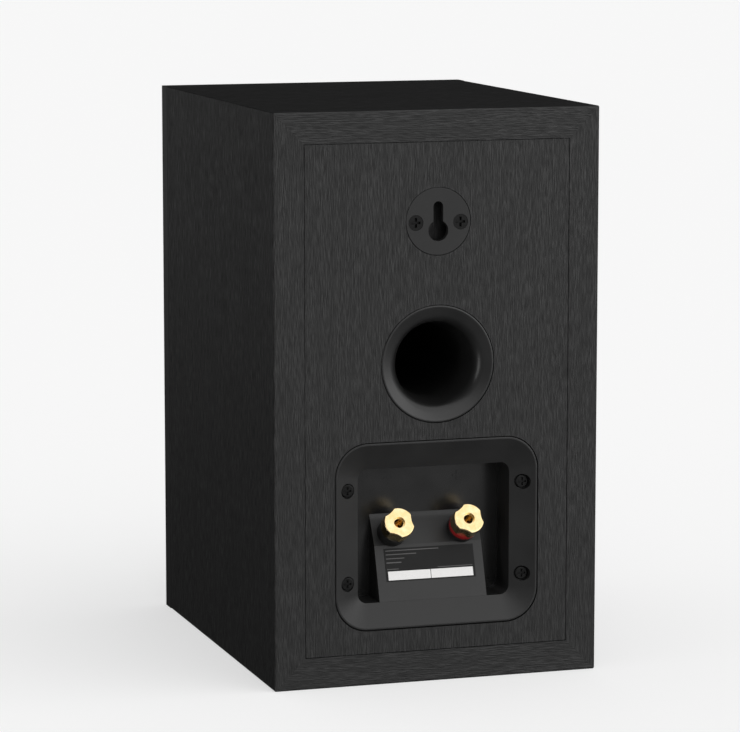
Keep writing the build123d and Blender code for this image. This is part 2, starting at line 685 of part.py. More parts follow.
def binding_post():
    """Hollow threaded post: a 4 mm socket from the tip and a cross hole for bare wire."""
    _, _, _, tip, _, _, hex_low = stack()
    tail = hex_low - POST_TAIL
    rod = Pos(0, 0, (tip + tail) / 2) * Cylinder(POST_RADIUS, tip - tail)
    rod = chamfer(rod.edges().group_by(Axis.Z)[-1], 0.3)
    bore_low = -PLUG_REACH
    rod -= Pos(0, 0, (tip + bore_low) / 2 + CUT) * Cylinder(SOCKET_4MM, tip - bore_low + 2 * CUT)
    wire_z = BASE_THICK + CLAMP_TRAVEL / 2
    return rod - Pos(0, 0, wire_z) * Rot(0, 90, 0) * Cylinder(WIRE_HOLE_RADIUS, 4 * POST_RADIUS)


def post_base():
    flange = ring_between(BASE_RADIUS, POST_BORE_RADIUS, 0, BASE_THICK)
    flange = fillet(flange.edges().group_by(Axis.Z)[-1].sort_by(SortBy.RADIUS)[-1], 0.4)
    return flange + ring_between(BUSH_RADIUS, POST_BORE_RADIUS, -CUP_WALL, 0)


def clamp_collar():
    low, high, *_ = stack()
    collar = ring_between(COLLAR_RADIUS, POST_BORE_RADIUS, low, high)
    return fillet(collar.edges().group_by(Axis.Z)[0].sort_by(SortBy.RADIUS)[-1], 0.5)


def clamp_nut():
    """Round nut with three scallops, a threaded bore and a narrower plug mouth."""
    _, low, high, *_ = stack()
    middle = (low + high) / 2
    nut = Pos(0, 0, middle) * Cylinder(NUT_RADIUS, NUT_HEIGHT)
    for index in range(SCALLOPS):
        angle = SCALLOP_START + index * 360 / SCALLOPS
        cutter = Pos(SCALLOP_CENTRE, 0, middle) * Cylinder(SCALLOP_RADIUS, NUT_HEIGHT + 2 * CUT)
        nut -= Rot(0, 0, angle) * cutter
    nut = fillet(nut.edges().group_by(Axis.Z)[-1], 0.45)
    nut = chamfer(nut.edges().group_by(Axis.Z)[0], 0.25)
    thread_top = high - NUT_LIP
    nut -= Pos(0, 0, (low + thread_top) / 2 - CUT / 2) * Cylinder(POST_BORE_RADIUS, thread_top - low + CUT)
    return nut - Pos(0, 0, high) * Cylinder(NUT_MOUTH, 4 * NUT_LIP)


def solder_tag():
    """Ring tag with a tab that points to the cup's centre line."""
    _, _, _, _, high, low, _ = stack()
    ring = Cylinder(HEX_NUT_RADIUS, TAG_THICK)
    tab = Pos(HEX_NUT_RADIUS + 1.5, 0, 0) * Box(5.0, 3.0, TAG_THICK)
    middle = (low + high) / 2
    return Pos(0, 0, middle) * (ring + tab - Cylinder(POST_BORE_RADIUS, 3 * TAG_THICK))


def hex_nut():
    *_, high, low = stack()
    sketch = RegularPolygon(HEX_NUT_RADIUS, 6) - Circle(POST_BORE_RADIUS)
    return Pos(0, 0, low) * extrude(sketch, high - low)


def post_parts():
    """Every piece of both posts: red at -X, black at +X."""
    nodes = {}
    sides = {"red": -POST_X, "black": POST_X}
    for colour, x in sides.items():
        frame = post_frame(x)
        nodes[f"binding_post_{colour}"] = frame * binding_post()
        nodes[f"post_base_{colour}"] = frame * post_base()
        nodes[f"clamp_collar_{colour}"] = frame * clamp_collar()
        nodes[f"clamp_nut_{colour}"] = frame * clamp_nut()
    low = -CUP_WALL - INNER_WASHER
    washer = ring_between(HEX_NUT_RADIUS, POST_BORE_RADIUS, low, -CUP_WALL)
    frames = [post_frame(x) for x in sides.values()]
    nodes["post_washers"] = [frame * washer for frame in frames]
    nodes["post_hex_nuts"] = [frame * hex_nut() for frame in frames]
    turns = [180, 0]
    nodes["solder_tags"] = [f * Rot(0, 0, turn) * solder_tag() for f, turn in zip(frames, turns)]
    return nodes


# ================================================================ crossover
def board_corners():
    return [(x, BOARD_Z + dz) for x in (-STANDOFF_X, STANDOFF_X) for dz in (-STANDOFF_DZ, STANDOFF_DZ)]


def crossover_board():
    sketch = Pos(0, BOARD_Z) * RectangleRounded(BOARD_WIDTH, BOARD_HEIGHT, 2.0)
    board = slab(sketch, BOARD_FRONT_Y, BOARD_BACK_Y)
    for x, z in board_corners():
        board -= rod_y(BOARD_SCREW_SHAFT + 0.15, x, z, BOARD_FRONT_Y - CUT, BOARD_BACK_Y + CUT)
    return board


def crossover_standoffs():
    pillars = []
    for x, z in board_corners():
        pillar = rod_y(STANDOFF_RADIUS, x, z, BOARD_BACK_Y, CUP_BACK_Y)
        pillars.append(pillar - rod_y(BOARD_SCREW_SHAFT, x, z, BOARD_BACK_Y - CUT, CUP_BACK_Y - 1.5))
    return pillars


def crossover_screws():
    shaft = BOARD_SCREW_SHAFT - 0.01
    screw = pan_screw(2 * BOARD_SCREW_SHAFT, 1.8, shaft, BOARD_SCREW_LENGTH)
    return [facing_front(x, BOARD_FRONT_Y, z) * screw for x, z in board_corners()]


def inductor_bobbins():
    bobbins = []
    for x, z, flange, core, height in INDUCTORS:
        foot_y = BOARD_FRONT_Y
        bobbin = rod_y(flange, x, z, foot_y - BOBBIN_FLANGE, foot_y)
        bobbin += rod_y(core, x, z, foot_y - height, foot_y)
        bobbin += rod_y(flange, x, z, foot_y - height, foot_y - height + BOBBIN_FLANGE)
        bobbins.append(bobbin - rod_y(core - CORE_WALL, x, z, foot_y - height - CUT, foot_y - BOBBIN_FLANGE))
    return bobbins


def inductor_windings():
    windings = []
    for x, z, flange, core, height in INDUCTORS:
        high = BOARD_FRONT_Y - BOBBIN_FLANGE - 0.1
        low = BOARD_FRONT_Y - height + BOBBIN_FLANGE + 0.1
        coil = rod_y(flange - 1.2, x, z, low, high) - rod_y(core + 0.1, x, z, low - CUT, high + CUT)
        windings.append(coil)
    return windings


def lying_can(radius, length, x, z):
    """A cylindrical component lying on the board, along X."""
    y = BOARD_FRONT_Y - radius
    can = Pos(x, y, z) * Rot(0, 90, 0) * Cylinder(radius, length)
    return fillet(can.edges().filter_by(GeomType.CIRCLE), 0.6)


def film_capacitors():
    return [lying_can(*values) for values in FILM_CAPACITORS]


def electrolytic_capacitor():
    return lying_can(*ELECTROLYTIC)


def ceramic_resistor():
    x, z = RESISTOR_PLACE
    block = Pos(x, BOARD_FRONT_Y - RESISTOR_SIZE[1] / 2, z) * Box(*RESISTOR_SIZE)
    return fillet(block.edges(), 0.5)


# ================================================================ woofer
def woofer_screw_places():
    return around(WOOFER_SCREWS, WOOFER_SCREW_CIRCLE, WOOFER_Z, 45)


def woofer_basket():
    """Cast frame: flange, surround ledge, six ribs, spider ledge and rear neck."""
    neck_inner = BASKET_NECK - 2.5
    ledge_back = LEDGE_DEPTH + BASKET_WALL
    seat_back = SPIDER_SEAT_DEPTH + BASKET_WALL
    floor_front = BASKET_BACK - BASKET_WALL
    floor_inner = MAGNET_BORE + 4.0
    basket = driver_part(
        WOOFER_Z,
        (WOOFER_RADIUS, WOOFER_TRIM),
        (WOOFER_RADIUS, WOOFER_RECESS),
        (BASKET_BARREL, WOOFER_RECESS),
        (BASKET_BARREL, ledge_back + 0.7),
        (BASKET_NECK, seat_back + BASKET_WALL),
        (BASKET_NECK, BASKET_BACK),
        (floor_inner, BASKET_BACK),
        (floor_inner, floor_front),
        (neck_inner, floor_front),
        (neck_inner, seat_back),
        (SPIDER_SEAT_INNER, seat_back),
        (SPIDER_SEAT_INNER, SPIDER_SEAT_DEPTH),
        (neck_inner + 0.6, SPIDER_SEAT_DEPTH),
        (BASKET_MOUTH - 0.9, ledge_back),
        (LEDGE_INNER, ledge_back),
        (LEDGE_INNER, LEDGE_DEPTH),
        (BASKET_MOUTH, LEDGE_DEPTH),
        (BASKET_MOUTH, WOOFER_TRIM),
    )
    window = Pos(BASKET_WINDOW_RADIUS, FRONT_Y + BASKET_WINDOW_DEPTH, 0) * Box(*BASKET_WINDOW_SIZE)
    for index in range(BASKET_WINDOWS):
        angle = 30 + index * 360 / BASKET_WINDOWS
        basket -= Pos(0, 0, WOOFER_Z) * Rot(0, angle, 0) * window
    for x, z in woofer_screw_places():
        basket -= rod_y(WOOFER_SCREW_SHAFT + 0.2, x, z, FRONT_Y, FRONT_Y + WOOFER_RECESS + CUT)
        basket -= rod_y(WOOFER_SCREW_HEAD + 0.2, x, z, FRONT_Y, FRONT_Y + WOOFER_HEAD_SEAT)
    return basket


def woofer_trim_ring():
    ring = driver_part(
        WOOFER_Z,
        (WOOFER_RADIUS, 0.0),
        (WOOFER_RADIUS, WOOFER_TRIM),
        (BASKET_MOUTH, WOOFER_TRIM),
        (BASKET_MOUTH, 0.6),
        (WOOFER_CUTOUT, 0.0),
    )
    for x, z in woofer_screw_places():
        ring -= rod_y(WOOFER_SCREW_HEAD + 0.2, x, z, FRONT_Y - CUT, FRONT_Y + WOOFER_TRIM + CUT)
    return ring


def woofer_screws():
    """Socket-head screws with hexagonal recesses."""
    screws = []
    head_top = FRONT_Y + 0.2
    seat = FRONT_Y + WOOFER_HEAD_SEAT
    for x, z in woofer_screw_places():
        screw = rod_y(WOOFER_SCREW_HEAD, x, z, head_top, seat)
        screw += rod_y(WOOFER_SCREW_SHAFT - 0.02, x, z, seat, seat + WOOFER_SCREW_LENGTH)
        socket = slab(Pos(x, z) * RegularPolygon(1.75, 6), head_top - CUT, head_top + 1.4)
        screws.append(screw - socket)
    return screws


def woofer_surround():
    """Half-roll rubber surround with a flat lip on each side."""
    mid = LEDGE_DEPTH - ROLL_THICKNESS
    roll_inner = ROLL_OUTER - ROLL_THICKNESS
    base = FRONT_Y + LEDGE_DEPTH
    lip = FRONT_Y + mid
    lip_reach = sqrt(ROLL_OUTER**2 - ROLL_THICKNESS**2)
    face = outline(
        (48.0, base),
        (ROLL_RADIUS + roll_inner, base),
        ((ROLL_RADIUS, base - roll_inner), (ROLL_RADIUS - roll_inner, base)),
        (36.3, base),
        (36.3, lip),
        (ROLL_RADIUS - lip_reach, lip),
        ((ROLL_RADIUS, base - ROLL_OUTER), (ROLL_RADIUS + lip_reach, lip)),
        (48.0, lip),
    )
    return turned(face, WOOFER_Z)


def woofer_cone():
    """Shallow paper cone with a slightly flared wall and a flat glue rim."""
    rim_y = FRONT_Y + LEDGE_DEPTH + 0.02
    back = CONE_THICKNESS
    neck_y = FRONT_Y + CONE_NECK_DEPTH
    neck = FORMER_OUTER + 0.05
    bow = ((25.5, FRONT_Y + 14.6), (25.5, FRONT_Y + 14.6 + back * 1.2))
    face = outline(
        (CONE_EDGE, rim_y),
        (CONE_EDGE, rim_y + back),
        (36.3, rim_y + back * 1.2),
        (bow[1], (neck, neck_y + back * 1.6)),
        (neck, neck_y),
        (bow[0], (36.3, rim_y)),
    )
    return turned(face, WOOFER_Z)


def spherical_cap(radius, rise, wall, base_depth, axis_z):
    """A thin dome whose rim lies at base_depth and whose crown points out of the baffle."""
    ball = (radius**2 + rise**2) / (2 * rise)
    centre_y = FRONT_Y + base_depth - rise + ball
    shell = Pos(0, centre_y, axis_z) * (Sphere(ball) - Sphere(ball - wall))
    return shell & rod_y(radius, 0, axis_z, FRONT_Y - 50, FRONT_Y + base_depth)


def woofer_dust_cap():
    return spherical_cap(DUST_CAP_RADIUS, DUST_CAP_RISE, DUST_CAP_WALL, DUST_CAP_BASE, WOOFER_Z)


def woofer_former():
    depth_low = CONE_NECK_DEPTH - 1.0
    depth_high = coil_depths()[1]
    inner = FORMER_OUTER - FORMER_WALL
    return turned_ring(WOOFER_Z, FORMER_OUTER, inner, depth_low, depth_high)


def coil_depths():
    """The winding overhangs the gap plate equally at both ends."""
    middle = BASKET_BACK + TOP_PLATE / 2
    return middle - COIL_LENGTH / 2, middle + COIL_LENGTH / 2


def woofer_voice_coil():
    low, high = coil_depths()
    inner = FORMER_OUTER + 0.02
    return turned_ring(WOOFER_Z, FORMER_OUTER + COIL_BUILD, inner, low, high)


def woofer_spider():
    """Corrugated suspension from the former to the basket's rear ledge."""
    inner = FORMER_OUTER + 0.05
    waves_start = inner + SPIDER_INNER_FLAT
    waves_end = SPIDER_OUTER - SPIDER_OUTER_FLAT
    steps = 4 * SPIDER_WAVES
    pitch = (waves_end - waves_start) / steps
    top = [(inner, SPIDER_DEPTH), (waves_start, SPIDER_DEPTH)]
    for step in range(1, steps):
        wave = SPIDER_WAVE * sin(step * pi / 2)
        top.append((waves_start + step * pitch, SPIDER_DEPTH - wave))
    top += [(waves_end, SPIDER_DEPTH), (SPIDER_OUTER, SPIDER_DEPTH)]
    bottom = [(radius, depth + SPIDER_WALL) for radius, depth in reversed(top)]
    return driver_part(WOOFER_Z, *top, *bottom)


def woofer_top_plate():
    inner = FORMER_OUTER + COIL_BUILD + MAGNETIC_GAP
    return turned_ring(WOOFER_Z, PLATE_RADIUS, inner, BASKET_BACK, BASKET_BACK + TOP_PLATE)


def woofer_magnet():
    front = BASKET_BACK + TOP_PLATE
    back = front + WOOFER_MAGNET
    outer = WOOFER_MAGNET_RADIUS
    chamfered = outer - 1.0
    return driver_part(
        WOOFER_Z,
        (chamfered, front),
        (outer, front + 1.0),
        (outer, back - 1.0),
        (chamfered, back),
        (MAGNET_BORE, back),
        (MAGNET_BORE, front),
    )


def woofer_yoke():
    """Back plate and vented pole in one piece."""
    magnet_back = BASKET_BACK + TOP_PLATE + WOOFER_MAGNET
    back = magnet_back + TOP_PLATE
    pole = FORMER_OUTER - FORMER_WALL - MAGNETIC_GAP
    return driver_part(
        WOOFER_Z,
        (POLE_VENT, BASKET_BACK),
        (pole, BASKET_BACK),
        (pole, magnet_back),
        (PLATE_RADIUS, magnet_back),
        (PLATE_RADIUS, back - 1.0),
        (PLATE_RADIUS - 1.0, back),
        (POLE_VENT, back),
    )


def woofer_terminal_strip():
    """Insulating strip on the basket's neck, with two tags through it."""
    front_y = FRONT_Y + STRIP_DEPTH
    back_y = front_y + STRIP_THICK
    strip = Pos(BASKET_NECK + 4.0, front_y + STRIP_THICK / 2, WOOFER_Z) * Box(9.0, STRIP_THICK, 16.0)
    strip -= rod_y(BASKET_NECK + 0.05, 0, WOOFER_Z, front_y - CUT, back_y + CUT)
    for side in (-0.5, 0.5):
        tag = Pos(BASKET_NECK + 5.5, back_y + 1.5, WOOFER_Z + side * TAG_SPACING)
        strip += tag * Box(0.6, 4.5, 3.0)
    return strip


# ================================================================ tweeter
def tweeter_screw_places():
    return around(TWEETER_SCREWS, TWEETER_SCREW_CIRCLE, TWEETER_Z, 45)


def tweeter_faceplate():
    """Flush plate with a shallow waveguide round the dome."""
    plate = driver_part(
        TWEETER_Z,
        (TWEETER_RADIUS, 0.0),
        (TWEETER_RADIUS, TWEETER_RECESS),
        (FACEPLATE_BARREL, TWEETER_RECESS),
        (FACEPLATE_BARREL, FACEPLATE_BACK),
        (WAVEGUIDE_THROAT, FACEPLATE_BACK),
        (WAVEGUIDE_THROAT, WAVEGUIDE_DEPTH),
        (WAVEGUIDE_MOUTH, 0.0),
    )
    for x, z in tweeter_screw_places():
        plate -= rod_y(TWEETER_SCREW_SHAFT + 0.2, x, z, FRONT_Y, FRONT_Y + TWEETER_RECESS + CUT)
        plate -= rod_y(TWEETER_SCREW_HEAD + 0.2, x, z, FRONT_Y - CUT, FRONT_Y + TWEETER_HEAD_SEAT)
    return plate


def tweeter_screws():
    screws = []
    head_top = FRONT_Y + 0.2
    seat = FRONT_Y + TWEETER_HEAD_SEAT
    for x, z in tweeter_screw_places():
        screw = rod_y(TWEETER_SCREW_HEAD, x, z, head_top, seat)
        screw += rod_y(TWEETER_SCREW_SHAFT - 0.02, x, z, seat, seat + TWEETER_SCREW_LENGTH)
        socket = slab(Pos(x, z) * RegularPolygon(1.45, 6), head_top - CUT, head_top + 1.1)
        screws.append(screw - socket)
    return screws


def tweeter_surround():
    """Small half-roll between the dome and the clamped outer lip."""
    centre = DOME_RADIUS + 0.1 + TWEETER_ROLL
    base = FRONT_Y + TWEETER_PLATE_FRONT - 0.05
    inner = TWEETER_ROLL - TWEETER_LIP
    lip_y = base - TWEETER_LIP
    face = outline(
        (TWEETER_LIP_RADIUS, base),
        (centre + inner, base),
        ((centre, base - inner), (centre - inner, base)),
        (centre - TWEETER_ROLL, base),
        ((centre - 1.0, base - sqrt(TWEETER_ROLL**2 - 1.0)), (centre, base - TWEETER_ROLL)),
        (
            (centre + 1.1, base - sqrt(TWEETER_ROLL**2 - 1.1**2)),
            (centre + sqrt(TWEETER_ROLL**2 - TWEETER_LIP**2), lip_y),
        ),
        (TWEETER_LIP_RADIUS, lip_y),
    )
    return turned(face, TWEETER_Z)


def tweeter_dome():
    return spherical_cap(DOME_RADIUS, DOME_RISE, DOME_WALL, DOME_BASE, TWEETER_Z)


def tweeter_voice_coil():
    low = DOME_BASE + 0.02
    high = TWEETER_PLATE_FRONT + TWEETER_PLATE + 0.6
    return turned_ring(TWEETER_Z, DOME_RADIUS, DOME_RADIUS - TWEETER_COIL_WALL, low, high)


def tweeter_top_plate():
    front = TWEETER_PLATE_FRONT
    inner = DOME_RADIUS + TWEETER_GAP
    return turned_ring(TWEETER_Z, TWEETER_PLATE_RADIUS, inner, front, front + TWEETER_PLATE)


def tweeter_magnet():
    front = TWEETER_PLATE_FRONT + TWEETER_PLATE
    back = front + TWEETER_MAGNET
    return turned_ring(TWEETER_Z, TWEETER_MAGNET_RADIUS, TWEETER_MAGNET_BORE, front, back)


def tweeter_yoke():
    magnet_back = TWEETER_PLATE_FRONT + TWEETER_PLATE + TWEETER_MAGNET
    back = magnet_back + TWEETER_PLATE
    pole = DOME_RADIUS - TWEETER_COIL_WALL - TWEETER_GAP
    front = TWEETER_PLATE_FRONT + 0.2
    return driver_part(
        TWEETER_Z,
        (0, front),
        (pole, front),
        (pole, magnet_back),
        (TWEETER_PLATE_RADIUS, magnet_back),
        (TWEETER_PLATE_RADIUS, back),
        (0, back),
    )


def tweeter_back_y():
    return FRONT_Y + TWEETER_PLATE_FRONT + 2 * TWEETER_PLATE + TWEETER_MAGNET


def tweeter_terminal_strip():
    back_y = tweeter_back_y()
    strip = Pos(0, back_y + STRIP_THICK / 2, TWEETER_Z) * Box(16.0, STRIP_THICK, 8.0)
    for side in (-0.5, 0.5):
        tag = Pos(side * TAG_SPACING, back_y + STRIP_THICK + 1.5, TWEETER_Z)
        strip += tag * Box(3.0, 4.5, 0.6)
    return strip


# ================================================================ wires
def wire(name, points):
    """A round wire on straight runs joined by tangent arcs as large as the runs allow."""
    corners = [Vector(*point) for point in points]
    radii = []
    for before, here, after in zip(corners, corners[1:], corners[2:]):
        turn = radians((here - before).get_angle(after - here))
        shorter = min((here - before).length, (after - here).length)
        radii.append(0.45 * shorter / tan(turn / 2))
    path = FilletPolyline(*points, radius=radii)
    start = Plane(origin=path @ 0, z_dir=path % 0)
    tube = sweep(start * Circle(WIRE_DIAMETER / 2), path=path)
    section = pi * (WIRE_DIAMETER / 2) ** 2
    ratio = tube.volume / (section * path.length)
    bends = ", ".join(f"{radius:.1f}" for radius in radii)
    print(f"{name}: length {path.length:.1f} mm, volume ratio {ratio:.4f}, bend radii {bends} mm")
    return tube


def woofer_wires():
    """From the crossover along the right wall to the woofer's tags."""
    wires = []
    for side in (-0.5, 0.5):
        tag_z = WOOFER_Z + side * TAG_SPACING
        points = [
            (BASKET_NECK + 7.0, FRONT_Y + STRIP_DEPTH + STRIP_THICK + 0.5, tag_z),
            (BASKET_NECK + 7.2, -36.0, tag_z + 0.6),
            (43.6, -8.0, 68.0 + side * 7.0),
            (42.0, 20.0, 60.0 + side * 6.0),
            (34.5, 44.0, 50.0 + side * 6.0),
            (34.5, BOARD_FRONT_Y, 50.0 + side * 6.0),
        ]
        wires.append(wire(f"woofer wire {side}", points))
    return wires


def tweeter_wires():
    """From the crossover up past the port to the tweeter's tags."""
    wires = []
    back_y = tweeter_back_y() + STRIP_THICK
    for side in (-0.5, 0.5):
        x = side * TAG_SPACING
        points = [
            (x, back_y + 0.5, TWEETER_Z - 1.4),
            (x - 1.5, back_y + 15.0, TWEETER_Z - 3.0),
            (-13.0 + side * 5.0, -24.0, 172.0 + side * 2.0),
            (-27.0 + side * 5.0, -4.0, 146.0),
            (-31.0 + side * 5.0, 20.0, 118.0),
            (-32.0 + side * 5.0, 44.0, 91.0),
            (-32.0 + side * 5.0, BOARD_FRONT_Y, 91.0),
        ]
        wires.append(wire(f"tweeter wire {side}", points))
    return wires


def input_wires():
    """Short leads from the solder tags to the back of the crossover board."""
    wires = []
    for side in (-1, 1):
        frame = post_frame(side * POST_X)
        _, _, _, _, _, tag_low, _ = stack()
        tab_end = frame.from_local_coords((side * (HEX_NUT_RADIUS + 2.8), 0, tag_low - 1.05))
        points = [
            (tab_end.X, tab_end.Y, tab_end.Z),
            (tab_end.X, tab_end.Y - 3.5, tab_end.Z - 4.0),
            (tab_end.X - side * 0.5, BOARD_BACK_Y + 3.6, tab_end.Z - 8.0),
            (tab_end.X - side * 0.5, BOARD_BACK_Y, tab_end.Z - 8.0),
        ]
        wires.append(wire(f"input wire {side}", points))
    return wires


# ================================================================ wadding
def damping_wadding():
    """One folded sheet of polyester fibre along both side walls and the top."""
    outer_width = INNER_WIDTH - 2 * WADDING_GAP
    outer_top = CABINET_HEIGHT - PANEL - WADDING_GAP
    outer = Rectangle(outer_width, outer_top - WADDING_LOW_Z)
    outer_mid = (outer_top + WADDING_LOW_Z) / 2
    inner_top = outer_top - WADDING
    inner = Rectangle(outer_width - 2 * WADDING, inner_top - WADDING_LOW_Z + CUT)
    inner_mid = (inner_top + WADDING_LOW_Z - CUT) / 2
    sheet = slab(Pos(0, outer_mid) * outer, WADDING_FRONT_Y, WADDING_BACK_Y)
    sheet -= slab(Pos(0, inner_mid) * inner, WADDING_FRONT_Y - CUT, WADDING_BACK_Y + CUT)
    folds = [e for e in sheet.edges().filter_by(Axis.Y) if abs(e.center().Z - inner_top) < 0.1]
    return fillet(folds, WADDING_FOLD)


# ================================================================ assembly
def build_nodes():
    nodes = wall_panels()
    nodes.update(post_parts())
    makers = [
        front_baffle,
        rear_panel,
        grille_sockets,
        keyhole_plate,
        keyhole_screws,
        port_tube,
        terminal_cup,
        terminal_gasket,
        terminal_screws,
        terminal_label,
        crossover_board,
        crossover_standoffs,
        crossover_screws,
        inductor_bobbins,
        inductor_windings,
        film_capacitors,
        electrolytic_capacitor,
        ceramic_resistor,
        woofer_basket,
        woofer_trim_ring,
        woofer_screws,
        woofer_surround,
        woofer_cone,
        woofer_dust_cap,
        woofer_former,
        woofer_voice_coil,
        woofer_spider,
        woofer_top_plate,
        woofer_magnet,
        woofer_yoke,
        woofer_terminal_strip,
        tweeter_faceplate,
        tweeter_screws,
        tweeter_surround,
        tweeter_dome,
        tweeter_voice_coil,
        tweeter_top_plate,
        tweeter_magnet,
        tweeter_yoke,
        tweeter_terminal_strip,
        woofer_wires,
        tweeter_wires,
        input_wires,
        damping_wadding,
    ]
    for maker in makers:
        nodes[maker.__name__] = maker()
    return nodes


def main():
    os.makedirs("parts", exist_ok=True)
    for name, shape in build_nodes().items():
        if isinstance(shape, list):
            shape = Compound(children=[piece for item in shape for piece in item.solids()])
        export_step(shape, f"parts/{name}.step")
    print(f"posts tilt {post_tilt():.3f} degrees")


main()
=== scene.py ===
"""The look of the bookshelf speaker, round the frame that the CAD gives.

The baffle faces -Y, the rear panel +Y, and up is +Z. Shapes are worked out in millimetres, and MM
turns them into metres where they reach a mesh, a material or a blend.
"""

import json
import math

import bmesh
import bpy
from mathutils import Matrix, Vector, noise


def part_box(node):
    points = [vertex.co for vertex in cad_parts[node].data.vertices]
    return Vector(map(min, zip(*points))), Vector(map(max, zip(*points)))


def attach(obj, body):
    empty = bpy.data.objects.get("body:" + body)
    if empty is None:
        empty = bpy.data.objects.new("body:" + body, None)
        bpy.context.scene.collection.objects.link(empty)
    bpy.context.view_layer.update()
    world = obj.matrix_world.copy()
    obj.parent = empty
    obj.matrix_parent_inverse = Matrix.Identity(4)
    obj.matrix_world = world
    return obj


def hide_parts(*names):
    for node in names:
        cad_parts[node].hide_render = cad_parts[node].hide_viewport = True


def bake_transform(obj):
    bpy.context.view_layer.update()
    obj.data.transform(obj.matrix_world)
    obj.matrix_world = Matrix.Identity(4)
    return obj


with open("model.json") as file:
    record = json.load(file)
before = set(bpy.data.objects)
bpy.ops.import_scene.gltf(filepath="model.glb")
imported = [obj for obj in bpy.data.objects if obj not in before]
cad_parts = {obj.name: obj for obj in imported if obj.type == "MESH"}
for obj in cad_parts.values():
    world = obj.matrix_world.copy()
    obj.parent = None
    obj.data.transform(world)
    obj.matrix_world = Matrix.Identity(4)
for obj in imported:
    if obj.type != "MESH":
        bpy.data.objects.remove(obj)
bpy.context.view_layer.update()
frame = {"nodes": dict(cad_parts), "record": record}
NODES = frame["nodes"]
SLOT_OF = {part["node"]: part["material_slot"] for part in frame["record"]["subparts"]}

MM = 0.001


def middle_height(node):
    """The height of a node's middle in millimetres, to a hundredth."""
    low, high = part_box(node)
    return round((low.z + high.z) / 2 / MM, 2)


FRONT_Y = round(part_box("front_baffle")[0].y / MM, 3)
REAR_Y = round(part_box("port_tube")[1].y / MM, 3)
WOOFER_Z = middle_height("woofer_cone")
TWEETER_Z = middle_height("tweeter_dome")
PORT_Z = middle_height("port_tube")


# ================================================================ finishes
WAVE_SCALE = math.pi / 10  # a wave texture's Scale for one band a metre


